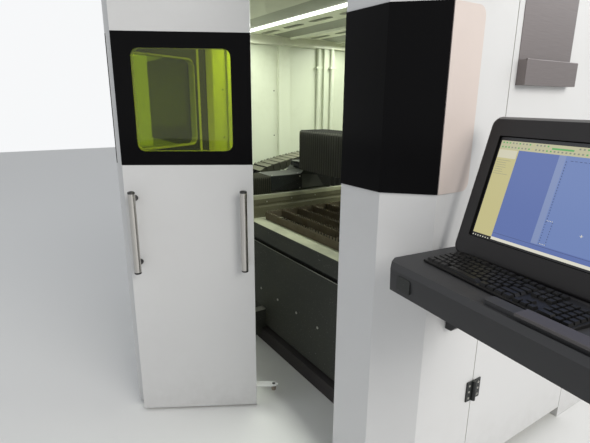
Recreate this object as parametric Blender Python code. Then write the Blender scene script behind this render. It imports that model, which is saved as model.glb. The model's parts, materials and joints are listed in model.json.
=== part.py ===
"""Enclosed fiber laser cutting machine with a bi-fold door, built from its separate pieces.

Units are metres, +Z is up. The origin lies on the floor under the middle of the enclosure.
The doorway is in the short front side, which faces -Y. The operator console stands on the +X side.
The part rests with its bi-fold door partly open and the gantry parked near the doorway.
"""

import math

import bmesh
import bpy
from mathutils import Matrix, Vector

# Fits shared by the whole machine
SEAT_GAP = 0.0003
FUSE = 0.004
OVERRUN = 0.02
MERGE = 0.0001

# Enclosure
TABLE_WIDTH = 1.30
ROOM_BESIDE_TABLE = 1.50
CABIN_LENGTH = 3.60
WALL_TOP = 2.19
ROOF_THICKNESS = 0.06
WALL_THICKNESS = 0.04
SHEET_WALL = 0.004
CORNER_CHAMFER = 0.125
PILLAR_FACE = 0.194
PILLAR_DEPTH = 0.16
STOP_STRIP_WIDTH = 0.046
STOP_STRIP_THICKNESS = 0.02
STOP_STRIP_SETBACK = 0.035
BAND_BOTTOM = 1.271
BAND_TOP = 1.828
BAND_THICKNESS = 0.004
INSET_LENGTH = 0.143
INSET_CORNER = 0.030
REAR_WALL_THICKNESS = 0.04
POST_DEPTH = 0.03
POST_WIDTH = 0.12
POST_PITCH = 0.505
POST_FIRST = 0.32
POST_BOTTOM = 0.10
POST_END_GAP = 0.004
TOP_BEAM_HEIGHT = 0.07
TOP_BEAM_DEPTH = 0.055
CEILING_BOTTOM = 2.10
CEILING_THICKNESS = 0.012
VENT_LENGTH = 0.27
VENT_WIDTH = 0.06
VENT_PITCH = 0.35
VENT_ROW_PITCH = 0.505
VENT_FIRST_ROW = 0.455
VENT_MARGIN = 0.10
LAMP_FIRST_ROW = 0.25
LAMP_WIDTH = 0.045
LAMP_HEIGHT = 0.02
LAMP_END_GAP = 0.05
EXHAUST_RADIUS = 0.125
EXHAUST_WALL = 0.004
EXHAUST_HEIGHT = 0.09
EXHAUST_FLANGE = 0.035
EXHAUST_FLANGE_THICKNESS = 0.006
EXHAUST_FROM_LEFT = 0.50
EXHAUST_FROM_REAR = 0.45

# Service door in the right side wall
SEAM_FROM_FRONT = 0.436
SEAM_GAP = 0.003
SERVICE_WIDTH = 0.76
SERVICE_BOTTOM = 0.06
SERVICE_TOP = 2.15
SERVICE_SKIN = 0.003
SERVICE_FLANGE = 0.018
HINGE_RADIUS = 0.009
HINGE_HEIGHT = 0.085
HINGE_PLATE = 0.006
HINGE_PLATE_WIDTH = 0.034
LOWER_HINGE_Z = 0.455
UPPER_HINGE_Z = 2.02
LATCH_Z = 1.05
LATCH_FROM_EDGE = 0.06
LATCH_RADIUS = 0.024
LATCH_BASE = 0.012
LATCH_LEVER_LENGTH = 0.095
LATCH_LEVER_WIDTH = 0.022
LATCH_LEVER_THICKNESS = 0.014
POCKET_BOTTOM = 1.607
POCKET_LIP = 0.080
POCKET_BACK = 0.32
POCKET_DEPTH = 0.032
POCKET_LENGTH = 0.32
POCKET_WALL = 0.002
POCKET_FROM_SEAM = 0.03

# Bi-fold door
LEAF_SPAN = 0.565
LEAF_OVERHANG = 0.017
LEAF_THICKNESS = 0.046
LEAF_BOTTOM = 0.012
LEAF_TOP = 2.085
LEAF_END_GAP = 0.003
DOOR_END_ROOM = 0.051
DOOR_LINE_FROM_FRONT = 0.0415
DOOR_OPEN_DEGREES = 61.0
BARREL_RADIUS = 0.008
BARREL_HEIGHT = 0.09
BARREL_GAP = 0.0004
BARREL_WING = 0.045
BARREL_SHARES = (0.12, 0.5, 0.88)
BAND_POCKET = 0.0053
WINDOW_FROM_EDGE = 0.068
WINDOW_BOTTOM = 1.325
WINDOW_TOP = 1.757
WINDOW_FROM_FOLD = 0.096
WINDOW_CORNER = 0.033
PANE_THICKNESS = 0.006
PANE_LAP = 0.012
PIVOT_RADIUS = 0.009
PIVOT_BRACKET = 0.006
PIVOT_BRACKET_WIDTH = 0.030
PIVOT_HEIGHT = 0.034
TRACK_WHEEL_RADIUS = 0.0105
TRACK_WIDTH = 0.060
TRACK_HEIGHT = 0.050
TRACK_SLOT = 0.026
TRACK_SLOT_DEPTH = 0.034
TRACK_OVERHANG = 0.04
PIVOT_SHELF_THICKNESS = 0.008
PIVOT_SHELF_WIDTH = 0.07
PIVOT_CLEARANCE = 0.0006
HANDLE_RADIUS = 0.016
HANDLE_BOTTOM = 0.775
HANDLE_TOP = 1.165
HANDLE_STANDOFF = 0.060
HANDLE_POST_RADIUS = 0.010
HANDLE_POST_INSET = 0.042
LEFT_HANDLE_X = 0.050
RIGHT_HANDLE_FROM_EDGE = 0.042
GUIDE_PLATE_BOTTOM = 0.106
GUIDE_PLATE_WIDTH = 0.040
GUIDE_PLATE_THICKNESS = 0.005
GUIDE_FLANGE_LENGTH = 0.142
GUIDE_FLANGE_HEIGHT = 0.030
GUIDE_REACH = 0.110
GUIDE_ROLLER_RADIUS = 0.012
GUIDE_ROLLER_HEIGHT = 0.030
GUIDE_PIN_RADIUS = 0.004
GUIDE_CLEARANCE = 0.0003

# Bed
BED_FRONT_FROM_FRONT = 0.32
BED_LENGTH = 3.03
BED_UNDERSIDE = 0.10
DECK_Z = 0.789
RAIL_WALL_TOP = 0.94
TABLE_GAP_LEFT = 0.052
TABLE_GAP_RIGHT = 0.058
LEFT_WALL_WIDTH = 0.24
RIGHT_WALL_WIDTH = 0.1995
BED_SIDE_GAP = 0.0005
RAIL_WALL_GROOVE = 0.012
RAIL_WALL_GROOVE_Z = 0.872
FRONT_RECESS = 0.020
SKIRT_BOTTOM = 0.690
PIT_MARGIN = 0.030
PIT_FRONT_LAND = 0.16
PIT_LENGTH = 2.42
PIT_FLOOR = 0.26
PLINTH_INSET = 0.045
PANEL_FROM_LEFT = 0.21
PANEL_FROM_RIGHT = 0.01
PANEL_BOTTOM = 0.11
PANEL_TOP = 0.664
PANEL_THICKNESS = 0.003
PANEL_FLANGE = 0.016
BLOCK_FROM_LEFT = 0.08
BLOCK_WIDTH = 0.125
BLOCK_DEPTH = 0.055
BLOCK_BOTTOM = 0.045
BLOCK_TOP = 0.215
SLAT_FRONT_FROM_BED = 0.100
SLAT_PITCH = 0.125
SLAT_COUNT = 20
SLAT_THICKNESS = 0.003
SLAT_TOP = 0.862
SLAT_VALLEY = 0.828
TOOTH_PITCH = 0.104
HOLDER_THICKNESS = 0.006

# Guides, covers and gantry
RAIL_WIDTH = 0.034
RAIL_HEIGHT = 0.024
RAIL_END_GAP = 0.05
TRUCK_WIDTH = 0.20
TRUCK_FRONT_FROM_BED = 0.185
TRUCK_LENGTH = 0.495
TRUCK_BOTTOM = 0.953
TRUCK_BOX_TOP = 1.060
TRUCK_TOP = 1.098
TRUCK_BOX_LENGTH = 0.240
TRUCK_CLEARANCE = 0.0005
LEFT_RAIL_INSET = 0.12
RIGHT_RAIL_INSET = 0.099
GUARD_WIDTH = 0.19
GUARD_TOP = 1.058
GUARD_BOTTOM = 0.9425
GUARD_WALL = 0.022
GUARD_PLEAT = 0.010
FRONT_GUARD_LENGTH = 0.135
FRONT_GUARD_FOLDS = 9
REAR_GUARD_FOLDS = 24
BEAM_FRONT_FROM_BED = 0.405
BEAM_WIDTH = 0.17
BEAM_BOTTOM = 1.135
BEAM_TOP = 1.335
SHOE_THICKNESS = 0.037
SHOE_LENGTH = 0.34
BEAM_FROM_LEFT = 0.035
BEAM_FROM_RIGHT = 0.03
COVER_PROUD = 0.030
COVER_WALL = 0.016
COVER_PLEAT = 0.009
COVER_FOLD_PITCH = 0.032
COVER_BOTTOM = 1.108
COVER_END_GAP = 0.002
CARRIAGE_FROM_TABLE = 0.698
CARRIAGE_WIDTH = 0.24
CARRIAGE_WALL = 0.045
CARRIAGE_FRONT_DEPTH = 0.07
CARRIAGE_BOTTOM = 1.04
HEAD_PLATE_WIDTH = 0.16
HEAD_PLATE_THICKNESS = 0.025
HEAD_PLATE_BOTTOM = 1.075
HEAD_PLATE_TOP = 1.52
HEAD_RADIUS = 0.042
HEAD_TOP = 1.46
HEAD_SHOULDER = 1.02
HEAD_BOTTOM = 0.955
HEAD_TIP_RADIUS = 0.020
HEAD_STANDOFF = 0.058
NOZZLE_TIP = 0.905
NOZZLE_RADIUS = 0.014
NOZZLE_TIP_RADIUS = 0.004
NOZZLE_BORE = 0.0015
CHAIN_FROM_RAIL = 0.35
CHAIN_WIDTH = 0.075
CHAIN_THICKNESS = 0.036
CHAIN_LINK = 0.056
CHAIN_WAIST_SHARE = 0.82
CHAIN_BEND_RADIUS = 0.155
CHAIN_RUN = 1.45
CHAIN_CAMBER = 0.070
CHAIN_ANCHOR_RUN = 0.40
CHAIN_ARM_WIDTH = 0.07
CHAIN_ARM_THICKNESS = 0.010
TRAY_WALL = 0.004
TRAY_LIP = 0.05
TRAY_FLOOR_Z = 0.79
TRAY_LENGTH = 2.60
TRAY_MARGIN = 0.012
SOURCE_LENGTH = 0.95
SOURCE_TO_TRAY = 0.0702
SOURCE_HEIGHT = 0.72
SOURCE_FROM_REAR = 0.10
SOURCE_PLINTH = 0.05
SOURCE_DOOR_GROOVE = 0.006

# Operator console
CONSOLE_PIVOT_X = 0.055
CONSOLE_PIVOT_FROM_FRONT = 0.30
CONSOLE_TURN_DEGREES = -6.0
BRACKET_HEIGHT = 0.12
BRACKET_WIDTH = 0.14
BRACKET_BOTTOM = 0.78
BRACKET_REACH = 0.10
BRACKET_PIN_RADIUS = 0.0145
BRACKET_PIN_HEIGHT = 0.045
SWIVEL_RADIUS = 0.034
SWIVEL_CLEARANCE = 0.0005
ARM_TOP = 0.9997
ARM_PLATE_THICKNESS = 0.022
ARM_LENGTH = 0.46
ARM_WIDTH = 0.10
ARM_TURN_DEGREES = -22.0
TRAY_LEFT = -0.010
TRAY_RIGHT = 0.66
TRAY_FRONT = -0.392
TRAY_BACK = -0.085
TRAY_BOTTOM = 1.00
TRAY_TOP = 1.10
TRAY_NOSE = 0.030
TRAY_CORNER = 0.045
PALM_LEFT = 0.33
PALM_DEPTH = 0.036
PALM_HEIGHT = 0.012
PALM_FROM_FRONT = 0.008
KEYBOARD_LEFT = 0.055
KEYBOARD_FRONT = -0.300
KEYBOARD_WIDTH = 0.455
KEYBOARD_DEPTH = 0.135
KEYBOARD_HEIGHT = 0.014
KEYBOARD_RISE = 0.008
KEYBOARD_TURN_DEGREES = -4.0
KEY_COLUMNS = 16
KEY_ROWS = 5
KEY_GAP = 0.0018
KEY_TRAVEL = 0.006
MONITOR_LEFT = 0.012
MONITOR_WIDTH = 0.625
MONITOR_FOOT_Y = -0.150
MONITOR_TOP_Y = -0.035
MONITOR_TOP_Z = 1.512
MONITOR_DEPTH = 0.048
MONITOR_CORNER = 0.022
SCREEN_WIDTH = 0.520
SCREEN_HEIGHT = 0.300
SCREEN_FROM_TOP = 0.060
SCREEN_THICKNESS = 0.004
SCREEN_RECESS = 0.008
SCREEN_CORNER = 0.004

# Numbers of sides on round pieces
FINE = 32
MEDIUM = 20
COARSE = 12
CORNER_STEPS = 5

# Finishes: colour, roughness, metallic
FINISHES = {
    "white_paint": ((0.80, 0.81, 0.83), 0.45, 0.0),
    "gloss_black": ((0.012, 0.012, 0.014), 0.12, 0.0),
    "satin_grey": ((0.55, 0.53, 0.52), 0.35, 0.2),
    "laser_window": ((0.62, 0.80, 0.02), 0.10, 0.0),
    "bed_grey": ((0.075, 0.082, 0.070), 0.50, 0.1),
    "slat_steel": ((0.36, 0.33, 0.24), 0.55, 0.8),
    "rail_steel": ((0.55, 0.56, 0.58), 0.25, 1.0),
    "pleat_fabric": ((0.030, 0.032, 0.028), 0.75, 0.0),
    "cover_grey": ((0.10, 0.105, 0.09), 0.60, 0.0),
    "machine_black": ((0.025, 0.028, 0.028), 0.40, 0.1),
    "aluminium": ((0.66, 0.67, 0.68), 0.35, 0.9),
    "stainless": ((0.60, 0.60, 0.60), 0.28, 1.0),
    "copper": ((0.72, 0.38, 0.22), 0.30, 1.0),
    "chain_black": ((0.028, 0.034, 0.026), 0.60, 0.0),
    "charcoal": ((0.045, 0.045, 0.050), 0.50, 0.0),
    "key_black": ((0.012, 0.012, 0.012), 0.45, 0.0),
    "screen_glow": ((0.30, 0.45, 0.80), 0.20, 0.0),
    "lamp_white": ((0.95, 1.00, 0.92), 0.30, 0.0),
}

# Places that follow from the driving sizes
HALF_WIDTH = (TABLE_WIDTH + ROOM_BESIDE_TABLE) / 2
FRONT_Y = -CABIN_LENGTH / 2
REAR_Y = CABIN_LENGTH / 2
DOORWAY_RIGHT = HALF_WIDTH - CORNER_CHAMFER - PILLAR_FACE
SEAM_Y = FRONT_Y + SEAM_FROM_FRONT
INNER_X = HALF_WIDTH - WALL_THICKNESS
DOOR_LINE_Y = FRONT_Y - DOOR_LINE_FROM_FRONT
LEAF_INNER = BARREL_RADIUS + LEAF_END_GAP / 2
LEAF_OUTER = LEAF_INNER + LEAF_THICKNESS
LEAF_WIDTH = LEAF_SPAN + LEAF_OVERHANG
WINDOW_WIDTH = LEAF_WIDTH - WINDOW_FROM_FOLD - WINDOW_FROM_EDGE
RIGHT_HANDLE_X = LEAF_WIDTH - RIGHT_HANDLE_FROM_EDGE
DOOR_HINGE_X = DOORWAY_RIGHT - 2 * LEAF_SPAN - DOOR_END_ROOM
BED_FRONT_Y = FRONT_Y + BED_FRONT_FROM_FRONT
BED_REAR_Y = BED_FRONT_Y + BED_LENGTH
RIGHT_WALL_INNER = INNER_X - POST_DEPTH - BED_SIDE_GAP - RIGHT_WALL_WIDTH
TABLE_RIGHT = RIGHT_WALL_INNER - TABLE_GAP_RIGHT
TABLE_LEFT = TABLE_RIGHT - TABLE_WIDTH
LEFT_WALL_INNER = TABLE_LEFT - TABLE_GAP_LEFT
LEFT_RAIL_X = LEFT_WALL_INNER - LEFT_RAIL_INSET
RIGHT_RAIL_X = RIGHT_WALL_INNER + RIGHT_RAIL_INSET
BEAM_LEFT = LEFT_WALL_INNER + BEAM_FROM_LEFT
BEAM_RIGHT = RIGHT_WALL_INNER - BEAM_FROM_RIGHT
CARRIAGE_LEFT = TABLE_LEFT + CARRIAGE_FROM_TABLE
CHAIN_CENTRE_X = LEFT_RAIL_X - CHAIN_FROM_RAIL
TRUCK_FRONT_Y = BED_FRONT_Y + TRUCK_FRONT_FROM_BED
TRUCK_REAR_Y = TRUCK_FRONT_Y + TRUCK_LENGTH
BEAM_FRONT_Y = BED_FRONT_Y + BEAM_FRONT_FROM_BED
BEAM_REAR_Y = BEAM_FRONT_Y + BEAM_WIDTH
CARRIAGE_RIGHT = CARRIAGE_LEFT + CARRIAGE_WIDTH
HEAD_X = CARRIAGE_LEFT + CARRIAGE_WIDTH / 2
CARRIAGE_FRONT_Y = BEAM_FRONT_Y - COVER_PROUD - CARRIAGE_FRONT_DEPTH


# Meshes

def prism(points, axis, low, high):
    """A closed prism: a flat outline extruded along X, Y or Z from low to high."""
    solid = bmesh.new()

    def place(a, b, along):
        if axis == "X":
            return Vector((along, a, b))
        if axis == "Y":
            return Vector((a, along, b))
        return Vector((a, b, along))

    near = [solid.verts.new(place(a, b, low)) for a, b in points]
    far = [solid.verts.new(place(a, b, high)) for a, b in points]
    solid.faces.new(near)
    solid.faces.new(far)
    for i, vert in enumerate(near):
        after = (i + 1) % len(near)
        solid.faces.new((vert, near[after], far[after], far[i]))
    bmesh.ops.recalc_face_normals(solid, faces=solid.faces)
    return solid


def box(x, y, z):
    """A block between two limits on each axis."""
    corners = ((x[0], y[0]), (x[1], y[0]), (x[1], y[1]), (x[0], y[1]))
    return prism(corners, "Z", z[0], z[1])


def circle(radius, sides, centre=(0.0, 0.0)):
    """Points round a circle."""
    turns = [2 * math.pi * i / sides for i in range(sides)]
    return [(centre[0] + radius * math.cos(t), centre[1] + radius * math.sin(t)) for t in turns]


def rounded(low, high, radius, steps=CORNER_STEPS, rounds=(True, True, True, True)):
    """A rectangle between two corners, with its chosen corners turned by arcs."""
    centres = (
        (high[0] - radius, high[1] - radius, high),
        (low[0] + radius, high[1] - radius, (low[0], high[1])),
        (low[0] + radius, low[1] + radius, low),
        (high[0] - radius, low[1] + radius, (high[0], low[1])),
    )
    points = []
    for quarter, (cx, cy, sharp) in enumerate(centres):
        if not rounds[quarter]:
            points.append(sharp)
            continue
        for step in range(steps + 1):
            turn = math.pi / 2 * (quarter + step / steps)
            points.append((cx + radius * math.cos(turn), cy + radius * math.sin(turn)))
    return points


def offset_path(points, distance, closed=False):
    """The path moved sideways by a distance, mitred at its corners; left of travel is positive."""
    moved = []
    count = len(points)
    for i, point in enumerate(points):
        here = Vector(point)
        before = Vector(points[i - 1]) if closed or i > 0 else None
        after = Vector(points[(i + 1) % count]) if closed or i < count - 1 else None
        sides = []
        if before is not None:
            run = (here - before).normalized()
            sides.append(Vector((-run.y, run.x)))
        if after is not None:
            run = (after - here).normalized()
            sides.append(Vector((-run.y, run.x)))
        normal = (sides[0] + sides[-1]).normalized()
        reach = distance / max(normal.dot(sides[0]), MERGE)
        moved.append(tuple(here + normal * reach))
    return moved


def lathe(profile, sides, centre):
    """A turned piece about a vertical axis: profile holds (radius, height) pairs round its section."""
    solid = bmesh.new()
    rings = []
    for radius, height in profile:
        if radius == 0:
            rings.append([solid.verts.new((centre[0], centre[1], height))])
            continue
        ring = circle(radius, sides, centre)
        rings.append([solid.verts.new((x, y, height)) for x, y in ring])
    closed_section = profile[0][0] != 0
    pairs = list(zip(rings, rings[1:] + rings[:1] if closed_section else rings[1:]))
    for lower, upper in pairs:
        for i in range(sides):
            after = (i + 1) % sides
            corners = [
                lower[i % len(lower)],
                lower[after % len(lower)],
                upper[after % len(upper)],
                upper[i % len(upper)],
            ]
            face = list(dict.fromkeys(corners))
            if len(face) > 2:
                solid.faces.new(face)
    bmesh.ops.recalc_face_normals(solid, faces=solid.faces)
    return solid


def sweep(sections):
    """A closed solid through a row of loops that all have the same number of points."""
    solid = bmesh.new()
    rings = [[solid.verts.new(point) for point in section] for section in sections]
    for first, second in zip(rings, rings[1:]):
        for i, vert in enumerate(first):
            after = (i + 1) % len(first)
            solid.faces.new((vert, first[after], second[after], second[i]))
    solid.faces.new(rings[0])
    solid.faces.new(rings[-1])
    bmesh.ops.recalc_face_normals(solid, faces=solid.faces)
    return solid


def turned(solid, angle, axis="Z", about=(0.0, 0.0, 0.0)):
    """The same solid, turned about a point."""
    pivot = Vector(about)
    turn = Matrix.Translation(pivot) @ Matrix.Rotation(angle, 4, axis) @ Matrix.Translation(-pivot)
    solid.transform(turn)
    return solid


# Objects

def finish(name):
    """The named finish as a Principled material."""
    made = bpy.data.materials.get(name)
    if made is not None:
        return made
    colour, roughness, metallic = FINISHES[name]
    made = bpy.data.materials.new(name)
    made.use_nodes = True
    shader = made.node_tree.nodes["Principled BSDF"]
    shader.inputs["Base Color"].default_value = (*colour, 1.0)
    shader.inputs["Roughness"].default_value = roughness
    shader.inputs["Metallic"].default_value = metallic
    made.diffuse_color = (*colour, 1.0)
    return made


def piece(name, solid, material, parent, smooth=False):
    """Turns a solid into a named object under its parent."""
    mesh = bpy.data.meshes.new(name)
    solid.to_mesh(mesh)
    solid.free()
    made = bpy.data.objects.new(name, mesh)
    bpy.context.scene.collection.objects.link(made)
    made.parent = parent
    if material is not None:
        mesh.materials.append(finish(material))
    if smooth:
        mesh.shade_smooth()
        mesh.set_sharp_from_angle(angle=math.radians(35))
    return made


def helpers(name, solids, parent):
    """A hidden collection of solids that a Boolean adds or removes."""
    group = bpy.data.collections.new(name)
    bpy.context.scene.collection.children.link(group)
    for number, solid in enumerate(solids):
        helper = piece(f"{name}_{number}", solid, None, parent)
        bpy.context.scene.collection.objects.unlink(helper)
        group.objects.link(helper)
        helper.hide_render = True
        helper.display_type = "WIRE"
    return group


def combine(target, operation, solids, label):
    """Joins solids to a piece, or cuts them from it."""
    modifier = target.modifiers.new(label, "BOOLEAN")
    modifier.operation = operation
    modifier.solver = "EXACT"
    modifier.operand_type = "COLLECTION"
    modifier.collection = helpers(f"{target.name}_{label}", solids, target.parent)
    return target


def join(target, solids, label="joined"):
    return combine(target, "UNION", solids, label)


def cut(target, solids, label="cuts"):
    return combine(target, "DIFFERENCE", solids, label)


def pivot(name, location, parent, turn_degrees=0.0):
    """An empty on a joint's axis, which carries a moving body."""
    empty = bpy.data.objects.new(name, None)
    bpy.context.scene.collection.objects.link(empty)
    empty.parent = parent
    empty.location = location
    empty.rotation_euler = (0.0, 0.0, math.radians(turn_degrees))
    return empty


# Enclosure

def mirrored(points, side):
    return [(side * x, y) for x, y in points]


def pillar_face():
    """The front facet and the chamfer facet of the right pillar, seen from above."""
    return [
        (DOORWAY_RIGHT, FRONT_Y),
        (HALF_WIDTH - CORNER_CHAMFER, FRONT_Y),
        (HALF_WIDTH, FRONT_Y + CORNER_CHAMFER),
    ]


def pillar(name, side, root, stop_strip):
    """A folded corner column with its side wing, hollow and open at both ends."""
    wing_end = SEAM_Y - SEAM_GAP / 2
    back = FRONT_Y + PILLAR_DEPTH
    outline = pillar_face() + [
        (HALF_WIDTH, wing_end),
        (INNER_X, wing_end),
        (INNER_X, back),
        (DOORWAY_RIGHT, back),
    ]
    hollow = offset_path(outline, SHEET_WALL, closed=True)
    made = piece(name, prism(mirrored(outline, side), "Z", 0.0, WALL_TOP), "white_paint", root)
    cut(made, [prism(mirrored(hollow, side), "Z", -OVERRUN, WALL_TOP + OVERRUN)])
    if stop_strip:
        front = FRONT_Y + STOP_STRIP_SETBACK
        strip = box(
            (DOORWAY_RIGHT - STOP_STRIP_WIDTH, DOORWAY_RIGHT + SHEET_WALL / 2),
            (front, front + STOP_STRIP_THICKNESS),
            (0.0, CEILING_BOTTOM - SEAT_GAP),
        )
        join(made, [strip])


def pillar_band(name, side, root):
    """The gloss panel that wraps the two front facets of a pillar."""
    inner = offset_path(pillar_face(), -SEAT_GAP)
    outer = offset_path(pillar_face(), -SEAT_GAP - BAND_THICKNESS)
    outline = mirrored(inner + outer[::-1], side)
    return piece(name, prism(outline, "Z", BAND_BOTTOM, BAND_TOP), "gloss_black", root)


def side_inset(root):
    """The satin panel on the side wall behind the band, round at its rear corners."""
    start = FRONT_Y + CORNER_CHAMFER
    outline = rounded(
        (start, BAND_BOTTOM),
        (start + INSET_LENGTH, BAND_TOP),
        INSET_CORNER,
        rounds=(True, False, False, True),
    )
    face = HALF_WIDTH + SEAT_GAP
    return piece("side_inset", prism(outline, "X", face, face + BAND_THICKNESS), "satin_grey", root)


def header(root):
    """The beam over the doorway, and the slotted track that the door hangs in."""
    reach = DOORWAY_RIGHT - SEAT_GAP
    beam = box((-reach, reach), (FRONT_Y, FRONT_Y + PILLAR_DEPTH), (CEILING_BOTTOM, WALL_TOP))
    piece("front_header", beam, "white_paint", root)
    back = FRONT_Y - SEAT_GAP
    front = DOOR_LINE_Y - TRACK_WIDTH / 2
    slot = (DOOR_LINE_Y - TRACK_SLOT / 2, DOOR_LINE_Y + TRACK_SLOT / 2)
    profile = [
        (front, CEILING_BOTTOM),
        (slot[0], CEILING_BOTTOM),
        (slot[0], CEILING_BOTTOM + TRACK_SLOT_DEPTH),
        (slot[1], CEILING_BOTTOM + TRACK_SLOT_DEPTH),
        (slot[1], CEILING_BOTTOM),
        (back, CEILING_BOTTOM),
        (back, CEILING_BOTTOM + TRACK_HEIGHT),
        (front, CEILING_BOTTOM + TRACK_HEIGHT),
    ]
    left = DOOR_HINGE_X - TRACK_OVERHANG
    right = DOOR_HINGE_X + LEAF_SPAN + LEAF_WIDTH + TRACK_OVERHANG
    piece("door_track", prism(profile, "X", left, right), "aluminium", root)


def front_panel(root):
    """The fixed front panel beside the doorway, with the shelf that holds the door's lower pivot."""
    left = -DOORWAY_RIGHT + SEAT_GAP
    right = DOOR_HINGE_X - PIVOT_BRACKET_WIDTH
    body = box((left, right), (FRONT_Y, FRONT_Y + WALL_THICKNESS), (0.0, CEILING_BOTTOM - SEAT_GAP))
    made = piece("front_panel", body, "white_paint", root)
    shelf = box(
        (right - PIVOT_SHELF_WIDTH, DOOR_HINGE_X + PIVOT_BRACKET_WIDTH / 2),
        (DOOR_LINE_Y - PIVOT_BRACKET_WIDTH / 2, FRONT_Y + FUSE),
        (0.0, PIVOT_SHELF_THICKNESS),
    )
    join(made, [shelf])
    hole = circle(PIVOT_RADIUS + PIVOT_CLEARANCE, MEDIUM, (DOOR_HINGE_X, DOOR_LINE_Y))
    cut(made, [prism(hole, "Z", -OVERRUN, PIVOT_SHELF_THICKNESS + OVERRUN)])
    face = FRONT_Y - SEAT_GAP
    strip = box((left, right), (face - BAND_THICKNESS, face), (BAND_BOTTOM, BAND_TOP))
    piece("front_panel_band", strip, "gloss_black", root)


def wall_posts(side, start, end):
    """Folded posts on the inside of a side wall, and the beam that they carry."""
    face = INNER_X + FUSE
    depth = INNER_X - POST_DEPTH
    beam_bottom = CEILING_BOTTOM - SEAT_GAP - TOP_BEAM_HEIGHT
    posts = []
    place = SEAM_Y + POST_FIRST
    while place + POST_WIDTH < end:
        low = max(place, start + POST_END_GAP)
        x = sorted((side * face, side * depth))
        if low < place + POST_WIDTH / 2:
            posts.append(box(x, (low, place + POST_WIDTH), (POST_BOTTOM, beam_bottom + FUSE)))
        place += POST_PITCH
    beam_x = sorted((side * face, side * (INNER_X - TOP_BEAM_DEPTH)))
    span = (start + POST_END_GAP, end - POST_END_GAP)
    posts.append(box(beam_x, span, (beam_bottom, CEILING_BOTTOM - SEAT_GAP)))
    return posts


def walls(root):
    """The left, rear and right walls, and the roof with its exhaust collar."""
    rear_face = REAR_Y - REAR_WALL_THICKNESS
    left_start = SEAM_Y - SEAM_GAP / 2 + SEAT_GAP
    left = box((-HALF_WIDTH, -INNER_X), (left_start, rear_face - SEAT_GAP), (0.0, WALL_TOP))
    left_wall = piece("left_wall", left, "white_paint", root)
    join(left_wall, wall_posts(-1, left_start, rear_face))
    right_start = SEAM_Y + SERVICE_WIDTH + SEAM_GAP
    right = box((INNER_X, HALF_WIDTH), (right_start, rear_face - SEAT_GAP), (0.0, WALL_TOP))
    right_wall = piece("right_wall", right, "white_paint", root)
    join(right_wall, wall_posts(1, right_start, rear_face))
    rear = box((-HALF_WIDTH, HALF_WIDTH), (rear_face, REAR_Y), (0.0, WALL_TOP))
    piece("rear_wall", rear, "white_paint", root)
    roof_outline = pillar_face() + [(HALF_WIDTH, REAR_Y), (-HALF_WIDTH, REAR_Y)]
    roof_outline += mirrored(pillar_face()[::-1], -1)
    low = WALL_TOP + SEAT_GAP
    roof = piece("roof", prism(roof_outline, "Z", low, low + ROOF_THICKNESS), "white_paint", root)
    centre = (-HALF_WIDTH + EXHAUST_FROM_LEFT, REAR_Y - EXHAUST_FROM_REAR)
    bore = circle(EXHAUST_RADIUS - EXHAUST_WALL, FINE, centre)
    cut(roof, [prism(bore, "Z", low - OVERRUN, low + ROOF_THICKNESS + OVERRUN)])
    base = low + ROOF_THICKNESS + SEAT_GAP
    collar = [
        (EXHAUST_RADIUS - EXHAUST_WALL, base),
        (EXHAUST_RADIUS + EXHAUST_FLANGE, base),
        (EXHAUST_RADIUS + EXHAUST_FLANGE, base + EXHAUST_FLANGE_THICKNESS),
        (EXHAUST_RADIUS, base + EXHAUST_FLANGE_THICKNESS),
        (EXHAUST_RADIUS, base + EXHAUST_HEIGHT),
        (EXHAUST_RADIUS - EXHAUST_WALL, base + EXHAUST_HEIGHT),
    ]
    piece("exhaust_collar", lathe(collar, FINE, centre), "aluminium", root, smooth=True)


def ceiling(root):
    """The slotted fume ceiling, and the two lamp strips that show under it."""
    low = CEILING_BOTTOM
    left = -INNER_X + SEAT_GAP
    right = INNER_X - SEAT_GAP
    front = FRONT_Y + PILLAR_DEPTH + SEAT_GAP
    rear = REAR_Y - REAR_WALL_THICKNESS - SEAT_GAP
    panel = box((left, right), (front, rear), (low, low + CEILING_THICKNESS))
    made = piece("ceiling", panel, "white_paint", root)
    row_start = front + VENT_FIRST_ROW + LAMP_FIRST_ROW
    rows = math.ceil((rear - VENT_MARGIN - row_start) / VENT_ROW_PITCH)
    columns = int((right - left - 2 * VENT_MARGIN) / VENT_PITCH)
    first_x = left + VENT_MARGIN
    slots = []
    for row in range(rows):
        y = row_start + row * VENT_ROW_PITCH
        for column in range(columns):
            x = first_x + column * VENT_PITCH
            corners = ((x, y - VENT_WIDTH / 2), (x + VENT_LENGTH, y + VENT_WIDTH / 2))
            slot = rounded(*corners, VENT_WIDTH / 2 - MERGE, steps=1)
            slots.append(prism(slot, "Z", low - OVERRUN, low + CEILING_THICKNESS + OVERRUN))
    cut(made, slots)
    for number, name in enumerate(("lamp_strip_front", "lamp_strip_rear")):
        y = row_start + (number - 1 / 2) * VENT_ROW_PITCH
        top = low - SEAT_GAP
        lens = [
            (y - LAMP_WIDTH / 2, top),
            (y - LAMP_WIDTH / 3, top - LAMP_HEIGHT),
            (y + LAMP_WIDTH / 3, top - LAMP_HEIGHT),
            (y + LAMP_WIDTH / 2, top),
        ]
        ends = INNER_X - TOP_BEAM_DEPTH - LAMP_END_GAP
        piece(name, prism(lens, "X", -ends, ends), "lamp_white", root)


# Service door

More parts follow.
